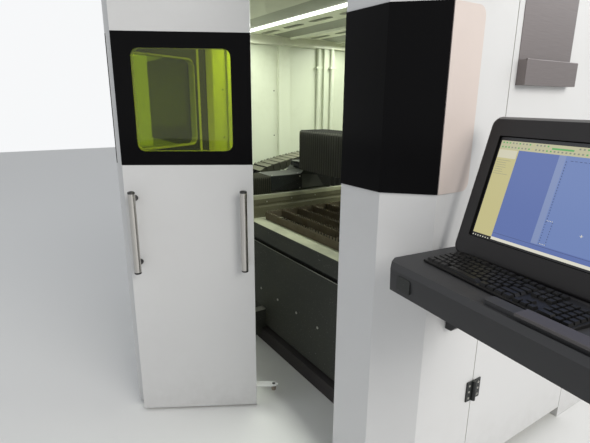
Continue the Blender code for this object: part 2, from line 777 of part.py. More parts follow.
def service_door(root):
    """The side door with its outside hinges, latch and document pocket."""
    axis_x = HALF_WIDTH + SEAT_GAP + HINGE_RADIUS
    door = pivot("side_door_axis", (axis_x, SEAM_Y, 0.0), root)
    skin = -SEAT_GAP - HINGE_RADIUS
    start = SEAM_GAP / 2
    end = SERVICE_WIDTH - SEAM_GAP / 2
    inside = skin - WALL_THICKNESS
    body = box((inside, skin), (start, end), (SERVICE_BOTTOM, SERVICE_TOP))
    made = piece("side_door", body, "white_paint", door)
    hollow = box(
        (inside - OVERRUN, skin - SERVICE_SKIN),
        (start + SERVICE_FLANGE, end - SERVICE_FLANGE),
        (SERVICE_BOTTOM + SERVICE_FLANGE, SERVICE_TOP - SERVICE_FLANGE),
    )
    cut(made, [hollow])
    half = HINGE_HEIGHT / 2
    plates = []
    for height in (LOWER_HINGE_Z, UPPER_HINGE_Z):
        near = HINGE_RADIUS + SEAT_GAP
        span = (near, near + HINGE_PLATE_WIDTH)
        plate_x = (skin - SERVICE_SKIN / 2, skin + HINGE_PLATE)
        plates.append(box(plate_x, span, (height - half, height + half)))
    join(made, plates, "hinge_plates")
    for name, height in (("lower_hinge", LOWER_HINGE_Z), ("upper_hinge", UPPER_HINGE_Z)):
        barrel = prism(circle(HINGE_RADIUS, MEDIUM, (axis_x, SEAM_Y)), "Z", height - half, height + half)
        hinge = piece(name, barrel, "machine_black", root)
        face = HALF_WIDTH + SEAT_GAP
        near = SEAM_Y - HINGE_RADIUS / 2
        span = (near - HINGE_PLATE_WIDTH, near)
        join(hinge, [box((face, face + HINGE_PLATE), span, (height - half, height + half))])
    latch_axis = pivot("side_latch_axis", (skin, end - LATCH_FROM_EDGE, LATCH_Z), door)
    out = SEAT_GAP
    base = prism(circle(LATCH_RADIUS, MEDIUM), "X", out, out + LATCH_BASE)
    latch = piece("side_latch", base, "machine_black", latch_axis)
    width = LATCH_LEVER_WIDTH / 2
    lever = rounded((-width, -LATCH_LEVER_LENGTH), (width, width), width - MERGE, steps=3)
    near = out + LATCH_BASE - FUSE
    join(latch, [prism(lever, "X", near, near + LATCH_LEVER_THICKNESS)])
    document_pocket(door, skin)
    return door


def document_pocket(door, skin):
    """A folded sheet pocket: a tall back, a floor, two ends and a low front lip."""
    near = skin + SEAT_GAP
    far = near + POCKET_DEPTH
    floor = POCKET_BOTTOM
    profile = [
        (near, floor),
        (far, floor),
        (far, floor + POCKET_LIP),
        (far - POCKET_WALL, floor + POCKET_LIP),
        (far - POCKET_WALL, floor + POCKET_WALL),
        (near + POCKET_WALL, floor + POCKET_WALL),
        (near + POCKET_WALL, floor + POCKET_BACK),
        (near, floor + POCKET_BACK),
    ]
    start = POCKET_FROM_SEAM
    end = start + POCKET_LENGTH
    made = piece("document_pocket", prism(profile, "Y", start, end), "stainless", door)
    sides = []
    for low in (start, end - POCKET_WALL):
        sides.append(box((near, far), (low, low + POCKET_WALL), (floor, floor + POCKET_LIP)))
    join(made, sides)


# Bi-fold door

def leaf(prefix, body, knuckle_turn, pivot_end, hinge_end):
    """One door leaf along its own +X, outer face towards -Y, with its band, window and fold knuckles."""
    skin = (-LEAF_OUTER, -LEAF_INNER)
    start = LEAF_END_GAP
    end = hinge_end
    panel = box((start, end), skin, (LEAF_BOTTOM, LEAF_TOP))
    made = piece(f"{prefix}_leaf", panel, "white_paint", body)
    window_left = WINDOW_FROM_FOLD if pivot_end == 0.0 else end - WINDOW_FROM_FOLD - WINDOW_WIDTH
    hole = ((window_left, WINDOW_BOTTOM), (window_left + WINDOW_WIDTH, WINDOW_TOP))
    pane = (
        (hole[0][0] - PANE_LAP, hole[0][1] - PANE_LAP),
        (hole[1][0] + PANE_LAP, hole[1][1] + PANE_LAP),
    )
    pane_room = (
        (pane[0][0] - SEAT_GAP, pane[0][1] - SEAT_GAP),
        (pane[1][0] + SEAT_GAP, pane[1][1] + SEAT_GAP),
    )
    band_back = -LEAF_OUTER + BAND_POCKET
    pane_back = band_back + SEAT_GAP + PANE_THICKNESS + SEAT_GAP
    out = -LEAF_OUTER - OVERRUN
    ends = (start - OVERRUN, end + OVERRUN)
    cut(
        made,
        [
            box(ends, (out, band_back), (BAND_BOTTOM - SEAT_GAP, BAND_TOP + SEAT_GAP)),
            prism(rounded(*pane_room, WINDOW_CORNER + PANE_LAP), "Y", out + OVERRUN / 3, pane_back),
            prism(rounded(*hole, WINDOW_CORNER), "Y", out + OVERRUN / 2, OVERRUN),
        ],
    )
    join(made, knuckles(knuckle_turn, pivot_end), "knuckles")
    band = box((start, end), (-LEAF_OUTER, band_back - SEAT_GAP), (BAND_BOTTOM, BAND_TOP))
    band_piece = piece(f"{prefix}_band", band, "gloss_black", body)
    cut(band_piece, [prism(rounded(*hole, WINDOW_CORNER), "Y", out, OVERRUN)])
    glass = prism(rounded(*pane, WINDOW_CORNER + PANE_LAP), "Y", band_back, pane_back - SEAT_GAP)
    piece(f"{prefix}_window", glass, "laser_window", body)
    return made


def knuckles(half, pivot_end):
    """Hinge barrels on the fold axis; each leaf holds one half of every barrel."""
    made = []
    for share in BARREL_SHARES:
        middle = LEAF_BOTTOM + share * (LEAF_TOP - LEAF_BOTTOM)
        ends = sorted((middle + half * BARREL_GAP / 2, middle + half * BARREL_HEIGHT / 2))
        made.append(prism(circle(BARREL_RADIUS, COARSE, (pivot_end, 0.0)), "Z", *ends))
        inward = 1 if pivot_end == 0.0 else -1
        wing_x = sorted((pivot_end + inward * BARREL_RADIUS / 3, pivot_end + inward * BARREL_WING))
        made.append(box(wing_x, (-LEAF_INNER - FUSE, -LEAF_INNER + FUSE), ends))
    return made


def pivot_bracket(place, up):
    """A plate on a leaf's top or bottom edge with its pivot pin on the door's hinge line."""
    half = PIVOT_BRACKET_WIDTH / 2
    plate_z = (LEAF_BOTTOM, LEAF_BOTTOM + PIVOT_BRACKET)
    if up:
        plate_z = (LEAF_TOP - FUSE, LEAF_TOP + PIVOT_BRACKET)
    pin_top = LEAF_TOP + PIVOT_HEIGHT
    pin_z = (LEAF_TOP + FUSE / 2, pin_top) if up else (SEAT_GAP, LEAF_BOTTOM + FUSE)
    plate = box((place - half, place + half), (-LEAF_INNER - LEAF_THICKNESS / 2, half), plate_z)
    pin = prism(circle(PIVOT_RADIUS, MEDIUM, (place, 0.0)), "Z", *pin_z)
    return [plate, pin]


def track_hanger(body):
    """The plate on the outer leaf's top edge, with the pin and wheel that run in the track."""
    half = PIVOT_BRACKET_WIDTH / 2
    low = LEAF_TOP + SEAT_GAP
    plate_y = (-LEAF_INNER - LEAF_THICKNESS / 2, half)
    plate = box((LEAF_SPAN - half, LEAF_SPAN + half), plate_y, (low, low + PIVOT_BRACKET))
    made = piece("track_hanger", plate, "stainless", body)
    pin_top = LEAF_TOP + PIVOT_HEIGHT
    outline = circle(PIVOT_RADIUS / 2, COARSE, (LEAF_SPAN, 0.0))
    join(made, [prism(outline, "Z", low + FUSE / 2, pin_top)], "pin")
    outline = circle(TRACK_WHEEL_RADIUS, MEDIUM, (LEAF_SPAN, 0.0))
    join(made, [prism(outline, "Z", CEILING_BOTTOM + FUSE, pin_top - FUSE)], "wheel")


def handle(name, place, body):
    """A long round bar handle on two posts."""
    axis_y = -LEAF_OUTER - HANDLE_STANDOFF
    bar = prism(circle(HANDLE_RADIUS, MEDIUM, (place, axis_y)), "Z", HANDLE_BOTTOM, HANDLE_TOP)
    made = piece(name, bar, "stainless", body, smooth=True)
    posts = []
    for height in (HANDLE_BOTTOM + HANDLE_POST_INSET, HANDLE_TOP - HANDLE_POST_INSET):
        ring = circle(HANDLE_POST_RADIUS, COARSE, (place, height))
        posts.append(prism(ring, "Y", axis_y, -LEAF_OUTER - SEAT_GAP))
    join(made, posts)


def guide_arm(body):
    """The plate that runs on past the free edge, its fixing flange and the roller under its end.

    The plate lies within the leaf's thickness, so the roller clears the pillar as the door shuts.
    """
    end = LEAF_WIDTH + GUIDE_REACH
    inner = -LEAF_INNER + SEAT_GAP
    half = GUIDE_PLATE_WIDTH / 2
    middle = -LEAF_INNER - half + GUIDE_PLATE_THICKNESS
    start = LEAF_WIDTH + SEAT_GAP
    plate_top = GUIDE_PLATE_BOTTOM + GUIDE_PLATE_THICKNESS
    flange = box(
        (LEAF_WIDTH - GUIDE_FLANGE_LENGTH, start + half),
        (inner, inner + GUIDE_PLATE_THICKNESS),
        (plate_top - GUIDE_FLANGE_HEIGHT, plate_top),
    )
    made = piece("guide_arm", flange, "white_paint", body)
    outline = rounded(
        (start, middle - half),
        (end, middle + half),
        half - MERGE,
        rounds=(True, False, False, True),
    )
    bridge = box(
        (start, start + half),
        (middle, inner + GUIDE_PLATE_THICKNESS / 2),
        (GUIDE_PLATE_BOTTOM, plate_top),
    )
    axis = (end - half, middle)
    roller_top = GUIDE_PLATE_BOTTOM - GUIDE_CLEARANCE
    roller_low = roller_top - GUIDE_ROLLER_HEIGHT
    pin = prism(circle(GUIDE_PIN_RADIUS, COARSE, axis), "Z", roller_low, plate_top - GUIDE_PIN_RADIUS / 2)
    join(made, [bridge], "bridge")
    join(made, [prism(outline, "Z", GUIDE_PLATE_BOTTOM, plate_top)], "plate")
    join(made, [pin], "pin")
    roller_axis = pivot("guide_roller_axis", (axis[0], axis[1], 0.0), body)
    ring = [
        (GUIDE_PIN_RADIUS + GUIDE_CLEARANCE, roller_low),
        (GUIDE_ROLLER_RADIUS, roller_low),
        (GUIDE_ROLLER_RADIUS, roller_top),
        (GUIDE_PIN_RADIUS + GUIDE_CLEARANCE, roller_top),
    ]
    piece("guide_roller", lathe(ring, MEDIUM, (0.0, 0.0)), "satin_grey", roller_axis, smooth=True)


def bifold_door(root):
    """Both leaves, hung so that the outer leaf's guide pin stays on the door's line."""
    inner = pivot("inner_leaf_axis", (DOOR_HINGE_X, DOOR_LINE_Y, 0.0), root, -DOOR_OPEN_DEGREES)
    fold = pivot("outer_leaf_axis", (LEAF_SPAN, 0.0, 0.0), inner, 2 * DOOR_OPEN_DEGREES)
    inner_leaf = leaf("inner", inner, -1, LEAF_SPAN, LEAF_SPAN - LEAF_END_GAP)
    join(inner_leaf, pivot_bracket(0.0, True) + pivot_bracket(0.0, False), "pivots")
    leaf("outer", fold, 1, 0.0, LEAF_WIDTH)
    track_hanger(fold)
    handle("left_handle", LEFT_HANDLE_X, fold)
    handle("right_handle", RIGHT_HANDLE_X, fold)
    guide_arm(fold)


# Bed

def bed(root):
    """The welded bed: two rail walls, a deck with the scrap pit, a recessed front and a plinth."""
    left_outer = LEFT_WALL_INNER - LEFT_WALL_WIDTH
    right_outer = RIGHT_WALL_INNER + RIGHT_WALL_WIDTH
    groove_low = RAIL_WALL_GROOVE_Z - RAIL_WALL_GROOVE
    groove_high = RAIL_WALL_GROOVE_Z + RAIL_WALL_GROOVE
    profile = [
        (left_outer, BED_UNDERSIDE),
        (right_outer, BED_UNDERSIDE),
        (right_outer, RAIL_WALL_TOP),
        (RIGHT_WALL_INNER, RAIL_WALL_TOP),
        (RIGHT_WALL_INNER, groove_high),
        (RIGHT_WALL_INNER + RAIL_WALL_GROOVE, RAIL_WALL_GROOVE_Z),
        (RIGHT_WALL_INNER, groove_low),
        (RIGHT_WALL_INNER, DECK_Z),
        (LEFT_WALL_INNER, DECK_Z),
        (LEFT_WALL_INNER, groove_low),
        (LEFT_WALL_INNER - RAIL_WALL_GROOVE, RAIL_WALL_GROOVE_Z),
        (LEFT_WALL_INNER, groove_high),
        (LEFT_WALL_INNER, RAIL_WALL_TOP),
        (left_outer, RAIL_WALL_TOP),
    ]
    made = piece("bed_frame", prism(profile, "Y", BED_FRONT_Y, BED_REAR_Y), "bed_grey", root)
    pit_front = BED_FRONT_Y + PIT_FRONT_LAND
    pit = box(
        (TABLE_LEFT + PIT_MARGIN, TABLE_RIGHT - PIT_MARGIN),
        (pit_front, pit_front + PIT_LENGTH),
        (PIT_FLOOR, DECK_Z + OVERRUN),
    )
    recess = box(
        (left_outer - OVERRUN, right_outer + OVERRUN),
        (BED_FRONT_Y - OVERRUN, BED_FRONT_Y + FRONT_RECESS),
        (BED_UNDERSIDE - OVERRUN, SKIRT_BOTTOM),
    )
    cut(made, [pit, recess])
    plinth = box(
        (left_outer + PLINTH_INSET, right_outer - PLINTH_INSET),
        (BED_FRONT_Y + FRONT_RECESS + PLINTH_INSET, BED_REAR_Y - PLINTH_INSET),
        (0.0, BED_UNDERSIDE + FUSE),
    )
    join(made, [plinth], "plinth")
    bed_front(root)


def bed_front(root):
    """The lower front cover with its folded top flange, and the service block at its left."""
    back = BED_FRONT_Y + FRONT_RECESS - SEAT_GAP
    panel_left = LEFT_WALL_INNER + PANEL_FROM_LEFT
    panel_right = RIGHT_WALL_INNER - PANEL_FROM_RIGHT
    block_left = LEFT_WALL_INNER + BLOCK_FROM_LEFT
    profile = [
        (BED_FRONT_Y, PANEL_BOTTOM),
        (BED_FRONT_Y + PANEL_THICKNESS, PANEL_BOTTOM),
        (BED_FRONT_Y + PANEL_THICKNESS, PANEL_TOP - PANEL_THICKNESS),
        (back, PANEL_TOP - PANEL_THICKNESS),
        (back, PANEL_TOP),
        (BED_FRONT_Y, PANEL_TOP),
    ]
    piece("bed_front_panel", prism(profile, "X", panel_left, panel_right), "bed_grey", root)
    block_corner = (block_left + BLOCK_WIDTH, BLOCK_TOP)
    block = prism(
        rounded((block_left, BLOCK_BOTTOM), block_corner, PANEL_THICKNESS, steps=2),
        "Y",
        back - BLOCK_DEPTH,
        back,
    )
    piece("front_service_block", block, "bed_grey", root)


def toothed(start, end, low, valley, top, pitch):
    """The outline of a plate with a row of pointed teeth along its upper edge."""
    count = max(1, round((end - start) / pitch))
    step = (end - start) / count
    points = [(start, low), (end, low), (end, valley)]
    for number in range(count):
        points.append((end - step * (number + 1 / 2), top))
        points.append((end - step * (number + 1), valley))
    return points


def slat_table(root):
    """The cutting table: toothed slats set between two toothed side holders."""
    low = DECK_Z + SEAT_GAP
    first = BED_FRONT_Y + SLAT_FRONT_FROM_BED
    last = first + (SLAT_COUNT - 1) * SLAT_PITCH
    side = toothed(first, last + SLAT_THICKNESS, low, SLAT_VALLEY, SLAT_TOP, TOOTH_PITCH)
    left = prism(side, "X", TABLE_LEFT, TABLE_LEFT + HOLDER_THICKNESS)
    made = piece("slat_table", left, "slat_steel", root)
    members = [prism(side, "X", TABLE_RIGHT - HOLDER_THICKNESS, TABLE_RIGHT)]
    inner = HOLDER_THICKNESS / 2
    slat = toothed(TABLE_LEFT + inner, TABLE_RIGHT - inner, low, SLAT_VALLEY, SLAT_TOP, TOOTH_PITCH)
    for number in range(SLAT_COUNT):
        place = first + number * SLAT_PITCH
        members.append(prism(slat, "Y", place, place + SLAT_THICKNESS))
    join(made, members)


def guides(root):
    """The two linear guide rails on the rail walls."""
    for name, centre in (("left_rail", LEFT_RAIL_X), ("right_rail", RIGHT_RAIL_X)):
        low = RAIL_WALL_TOP + SEAT_GAP
        half = RAIL_WIDTH / 2
        waist = RAIL_WIDTH / 3
        profile = [
            (centre - half, low),
            (centre + half, low),
            (centre + waist, low + RAIL_HEIGHT / 2),
            (centre + half, low + RAIL_HEIGHT * 2 / 3),
            (centre + half, low + RAIL_HEIGHT),
            (centre - half, low + RAIL_HEIGHT),
            (centre - half, low + RAIL_HEIGHT * 2 / 3),
            (centre - waist, low + RAIL_HEIGHT / 2),
        ]
        ends = (BED_FRONT_Y + RAIL_END_GAP, BED_REAR_Y - RAIL_END_GAP)
        piece(name, prism(profile, "Y", *ends), "rail_steel", root)


def pleated_arch(start, end, folds, outline, hollow, along):
    """A pleated cover: an arch whose outside runs in and out fold by fold, open along its underside.

    outline(grown) gives the outer points for a fold, hollow the fixed inner points, and along
    puts a section point at its place on the travel axis.
    """
    sections = []
    steps = 2 * folds
    for step in range(steps + 1):
        place = start + (end - start) * step / steps
        loop = outline(step % 2) + hollow
        sections.append([along(point, place) for point in loop])
    return sweep(sections)


def rail_guards(root):
    """The pleated guards over both rails, in front of and behind the trucks."""
    front_start = TRUCK_FRONT_Y - SEAT_GAP - FRONT_GUARD_LENGTH
    runs = (
        ("front_guard", front_start, TRUCK_FRONT_Y - SEAT_GAP, FRONT_GUARD_FOLDS),
        ("rear_guard", TRUCK_REAR_Y + SEAT_GAP, BED_REAR_Y - RAIL_END_GAP, REAR_GUARD_FOLDS),
    )
    for side, centre in (("left", LEFT_RAIL_X), ("right", RIGHT_RAIL_X)):
        half = GUARD_WIDTH / 2

        def outline(valley):
            inset = GUARD_PLEAT * valley
            return [
                (centre + half - inset, GUARD_BOTTOM),
                (centre + half - inset, GUARD_TOP - inset),
                (centre - half + inset, GUARD_TOP - inset),
                (centre - half + inset, GUARD_BOTTOM),
            ]

        room = half - GUARD_WALL
        hollow = [
            (centre - room, GUARD_BOTTOM),
            (centre - room, GUARD_TOP - GUARD_WALL),
            (centre + room, GUARD_TOP - GUARD_WALL),
            (centre + room, GUARD_BOTTOM),
        ]
        for label, start, end, folds in runs:
            solid = pleated_arch(start, end, folds, outline, hollow, lambda p, y: (p[0], y, p[1]))
            piece(f"{side}_{label}", solid, "pleat_fabric", root)


# Gantry

def truck(name, centre, gantry, arm):
    """The casting that runs on one rail and lifts to meet the beam."""
    rise = TRUCK_FRONT_Y + TRUCK_BOX_LENGTH
    slope = TRUCK_TOP - TRUCK_BOX_TOP
    profile = [
        (TRUCK_FRONT_Y, TRUCK_BOTTOM),
        (TRUCK_REAR_Y, TRUCK_BOTTOM),
        (TRUCK_REAR_Y, TRUCK_BOX_TOP),
        (TRUCK_REAR_Y - slope, TRUCK_TOP),
        (rise + slope, TRUCK_TOP),
        (rise, TRUCK_BOX_TOP),
        (TRUCK_FRONT_Y, TRUCK_BOX_TOP),
    ]
    half = TRUCK_WIDTH / 2
    made = piece(name, prism(profile, "X", centre - half, centre + half), "machine_black", gantry)
    room = RAIL_WIDTH / 2 + TRUCK_CLEARANCE
    rail_top = RAIL_WALL_TOP + SEAT_GAP + RAIL_HEIGHT + TRUCK_CLEARANCE
    channel = box(
        (centre - room, centre + room),
        (TRUCK_FRONT_Y - OVERRUN, TRUCK_REAR_Y + OVERRUN),
        (TRUCK_BOTTOM - OVERRUN, rail_top),
    )
    if arm:
        join(made, [chain_arm(centre - half)], "chain_arm")
    return cut(made, [channel])


def chain_arm(truck_side):
    """The flat arm that carries the moving end of the energy chain."""
    far = CHAIN_CENTRE_X - CHAIN_WIDTH / 2
    start = chain_path()[0]
    top = start[1] - CHAIN_THICKNESS / 2 - SEAT_GAP
    span = (start[0] - FUSE, start[0] + CHAIN_ARM_WIDTH)
    return box((far, truck_side + FUSE), span, (top - CHAIN_ARM_THICKNESS, top))


def chain_path():
    """Centre line of the energy chain in (y, z), from the gantry end round its bend to the anchor."""
    start_y = TRUCK_FRONT_Y + CHAIN_ARM_WIDTH
    upper_z = TRAY_FLOOR_Z + TRAY_WALL + SEAT_GAP + CHAIN_THICKNESS / 2 + 2 * CHAIN_BEND_RADIUS
    drop = upper_z - (TRUCK_BOX_TOP - CHAIN_THICKNESS)
    points = []
    count = round(CHAIN_RUN / CHAIN_LINK)
    for step in range(count + 1):
        share = step / count
        ease = share * share * (3 - 2 * share)
        arch = CHAIN_CAMBER * math.sin(math.pi * share ** (1 / 2))
        points.append((start_y + CHAIN_RUN * share, upper_z - drop * (1 - ease) + arch))
    bend_y = start_y + CHAIN_RUN
    steps = max(4, round(math.pi * CHAIN_BEND_RADIUS / CHAIN_LINK))
    for step in range(1, steps + 1):
        turn = math.pi / 2 - math.pi * step / steps
        points.append(
            (
                bend_y + CHAIN_BEND_RADIUS * math.cos(turn),
                upper_z - CHAIN_BEND_RADIUS + CHAIN_BEND_RADIUS * math.sin(turn),
            )
        )
    count = max(1, round(CHAIN_ANCHOR_RUN / CHAIN_LINK))
    for step in range(1, count + 1):
        points.append((bend_y - CHAIN_ANCHOR_RUN * step / count, upper_z - 2 * CHAIN_BEND_RADIUS))
    return points


def energy_chain(root):
    """The cable chain: links as alternate full and waisted sections along its centre line."""
    path = chain_path()
    middles = [((a[0] + b[0]) / 2, (a[1] + b[1]) / 2) for a, b in zip(path, path[1:])]
    line = [path[0]]
    for middle, after in zip(middles, path[1:]):
        line += [middle, after]
    sections = []
    for number, (y, z) in enumerate(line):
        before = Vector(line[max(number - 1, 0)])
        after = Vector(line[min(number + 1, len(line) - 1)])
        run = (after - before).normalized()
        side = Vector((-run.y, run.x)) * CHAIN_THICKNESS / 2
        width = CHAIN_WIDTH / 2 * (CHAIN_WAIST_SHARE if number % 2 else 1)
        low_x = CHAIN_CENTRE_X - width
        high_x = CHAIN_CENTRE_X + width
        sections.append(
            [
                (low_x, y - side.x, z - side.y),
                (high_x, y - side.x, z - side.y),
                (high_x, y + side.x, z + side.y),
                (low_x, y + side.x, z + side.y),
            ]
        )
    piece("energy_chain", sweep(sections), "chain_black", root)
    left = CHAIN_CENTRE_X - CHAIN_WIDTH / 2 - TRAY_MARGIN
    right = LEFT_WALL_INNER - LEFT_WALL_WIDTH - SEAT_GAP
    profile = [
        (left, TRAY_FLOOR_Z),
        (right, TRAY_FLOOR_Z),
        (right, TRAY_FLOOR_Z + TRAY_WALL),
        (left + TRAY_WALL, TRAY_FLOOR_Z + TRAY_WALL),
        (left + TRAY_WALL, TRAY_FLOOR_Z + TRAY_LIP),
        (left, TRAY_FLOOR_Z + TRAY_LIP),
    ]
    end = BED_REAR_Y
    piece("chain_tray", prism(profile, "Y", end - TRAY_LENGTH, end), "aluminium", root)


def beam_outline(proud, rise, bottom):
    """An arch round the gantry beam, seen along X: front, top and rear."""
    return [
        (BEAM_FRONT_Y - proud, bottom),
        (BEAM_FRONT_Y - proud, BEAM_TOP + rise),
        (BEAM_REAR_Y + proud, BEAM_TOP + rise),
        (BEAM_REAR_Y + proud, bottom),
    ]


def gantry(root):
    """The trucks, the beam on its shoe, the pleated beam covers, the carriage and the head."""
    travel = pivot("gantry_travel", (0.0, 0.0, 0.0), root)
    truck("left_truck", LEFT_RAIL_X, travel, True)
    truck("right_truck", RIGHT_RAIL_X, travel, False)
    half = TRUCK_WIDTH / 2
    shoe_low = TRUCK_TOP + SEAT_GAP
    beam = box((BEAM_LEFT, BEAM_RIGHT), (BEAM_FRONT_Y, BEAM_REAR_Y), (shoe_low + FUSE, BEAM_TOP))
    made = piece("gantry_beam", beam, "machine_black", travel)
    shoe = box(
        (LEFT_RAIL_X - half + SHOE_THICKNESS, RIGHT_RAIL_X + half - SHOE_THICKNESS),
        (BEAM_FRONT_Y + SHOE_THICKNESS, BEAM_REAR_Y),
        (shoe_low, shoe_low + SHOE_THICKNESS),
    )
    join(made, [shoe])
    beam_covers(travel)
    carriage(travel)


def beam_covers(travel):
    """The tall pleated covers that close the beam on both sides of the carriage."""
    hollow = beam_outline(COVER_PROUD - COVER_WALL, COVER_PROUD - COVER_WALL, COVER_BOTTOM + SHOE_THICKNESS)

    def outline(valley):
        proud = COVER_PROUD - COVER_PLEAT * valley
        return beam_outline(proud, proud, COVER_BOTTOM + SHOE_THICKNESS)[::-1]

    runs = (
        ("left_beam_cover", BEAM_LEFT, CARRIAGE_LEFT - COVER_END_GAP / 4),
        ("right_beam_cover", CARRIAGE_RIGHT + COVER_END_GAP / 4, BEAM_RIGHT),
    )
    for name, start, end in runs:
        folds = round((end - start) / COVER_FOLD_PITCH)
        solid = pleated_arch(start, end, folds, outline, hollow, lambda p, x: (x, p[0], p[1]))
        piece(name, solid, "cover_grey", travel)


def carriage(travel):
    """The saddle that rides over the beam, and the head that slides on its front."""
    saddle = pivot("carriage_travel", (HEAD_X, BEAM_FRONT_Y, 0.0), travel)
    half = CARRIAGE_WIDTH / 2
    front = -COVER_PROUD - CARRIAGE_FRONT_DEPTH
    rear = BEAM_WIDTH + CARRIAGE_WALL
    top = BEAM_TOP + SEAT_GAP
    profile = [
        (front, CARRIAGE_BOTTOM),
        (-SEAT_GAP, CARRIAGE_BOTTOM),
        (-SEAT_GAP, top),
        (BEAM_WIDTH + SEAT_GAP, top),
        (BEAM_WIDTH + SEAT_GAP, BEAM_BOTTOM + SHOE_THICKNESS),
        (rear, BEAM_BOTTOM + SHOE_THICKNESS),
        (rear, top + CARRIAGE_WALL),
        (front, top + CARRIAGE_WALL),
    ]
    piece("head_carriage", prism(profile, "X", -half, half), "machine_black", saddle)
    lift = pivot("head_lift", (0.0, front, 0.0), saddle)
    plate_half = HEAD_PLATE_WIDTH / 2
    plate = box(
        (-plate_half, plate_half),
        (-SEAT_GAP - HEAD_PLATE_THICKNESS, -SEAT_GAP),
        (HEAD_PLATE_BOTTOM, HEAD_PLATE_TOP),
    )
    head = piece("cutting_head", plate, "aluminium", lift)
    centre = (0.0, -SEAT_GAP - HEAD_STANDOFF)
    body = lathe(
        [
            (0.0, HEAD_BOTTOM),
            (HEAD_TIP_RADIUS, HEAD_BOTTOM),
            (HEAD_RADIUS, HEAD_SHOULDER),
            (HEAD_RADIUS, HEAD_TOP),
            (HEAD_TIP_RADIUS, HEAD_TOP + HEAD_TIP_RADIUS),
            (0.0, HEAD_TOP + HEAD_TIP_RADIUS),
        ],
        MEDIUM,
        centre,
    )
    join(head, [body])
    tip = [
        (NOZZLE_BORE, NOZZLE_TIP),
        (NOZZLE_TIP_RADIUS, NOZZLE_TIP),
        (NOZZLE_RADIUS, HEAD_BOTTOM - NOZZLE_RADIUS),
        (NOZZLE_RADIUS, HEAD_BOTTOM - SEAT_GAP),
        (NOZZLE_BORE, HEAD_BOTTOM - SEAT_GAP),
    ]
    piece("nozzle", lathe(tip, MEDIUM, centre), "copper", lift, smooth=True)


def source_cabinet(root):
    """The cabinet that holds the laser source, against the left wall behind the chain."""
    rear = REAR_Y - REAR_WALL_THICKNESS - SOURCE_FROM_REAR
    wall = -INNER_X + POST_DEPTH + SEAT_GAP
    face = CHAIN_CENTRE_X - CHAIN_WIDTH / 2 - TRAY_MARGIN - SOURCE_TO_TRAY
    body = box((wall, face), (rear - SOURCE_LENGTH, rear), (0.0, SOURCE_HEIGHT))
    made = piece("laser_source_cabinet", body, "white_paint", root)
    depth = (face - SOURCE_DOOR_GROOVE, face + OVERRUN)
    middle = rear - SOURCE_LENGTH / 2
    half = SOURCE_DOOR_GROOVE / 2
    seam = box(depth, (middle - half, middle + half), (SOURCE_PLINTH, SOURCE_HEIGHT + OVERRUN))
    kick = box(
        (face - SOURCE_PLINTH, face + OVERRUN),
        (rear - SOURCE_LENGTH - OVERRUN, rear + OVERRUN),
        (-OVERRUN, SOURCE_PLINTH),
    )
    cut(made, [seam, kick])


# Console

def console(root):
    """The swivelling operator console: bracket, arm, tray, keyboard and leaning monitor."""
    place = (HALF_WIDTH + CONSOLE_PIVOT_X, FRONT_Y + CONSOLE_PIVOT_FROM_FRONT)
    bracket_top = BRACKET_BOTTOM + BRACKET_HEIGHT
    half = BRACKET_WIDTH / 2
    foot = [
        (HALF_WIDTH + SEAT_GAP, BRACKET_BOTTOM),
        (HALF_WIDTH + BRACKET_REACH / 4, BRACKET_BOTTOM),
        (HALF_WIDTH + BRACKET_REACH, bracket_top - BRACKET_REACH / 3),
        (HALF_WIDTH + BRACKET_REACH, bracket_top - SEAT_GAP),
        (HALF_WIDTH + SEAT_GAP, bracket_top - SEAT_GAP),
    ]
    bracket = piece("console_bracket", prism(foot, "Y", place[1] - half, place[1] + half), "charcoal", root)
    pin = circle(BRACKET_PIN_RADIUS, MEDIUM, place)
    join(bracket, [prism(pin, "Z", bracket_top - FUSE, bracket_top + BRACKET_PIN_HEIGHT)])
    body = pivot("console_swivel", (place[0], place[1], 0.0), root, CONSOLE_TURN_DEGREES)
    post = prism(circle(SWIVEL_RADIUS, MEDIUM), "Z", bracket_top, ARM_TOP)
    arm = piece("console_arm", post, "charcoal", body)
    bar = rounded((0.0, -ARM_WIDTH / 2), (ARM_LENGTH, ARM_WIDTH / 2), ARM_WIDTH / 3)
    plate = prism(bar, "Z", ARM_TOP - ARM_PLATE_THICKNESS, ARM_TOP)
    join(arm, [turned(plate, math.radians(ARM_TURN_DEGREES))])
    bore = circle(BRACKET_PIN_RADIUS + SWIVEL_CLEARANCE, MEDIUM)
    depth = bracket_top + BRACKET_PIN_HEIGHT + SEAT_GAP
    cut(arm, [prism(bore, "Z", bracket_top - OVERRUN, depth)])
    console_tray(body)
    keyboard(body)
    monitor(body)


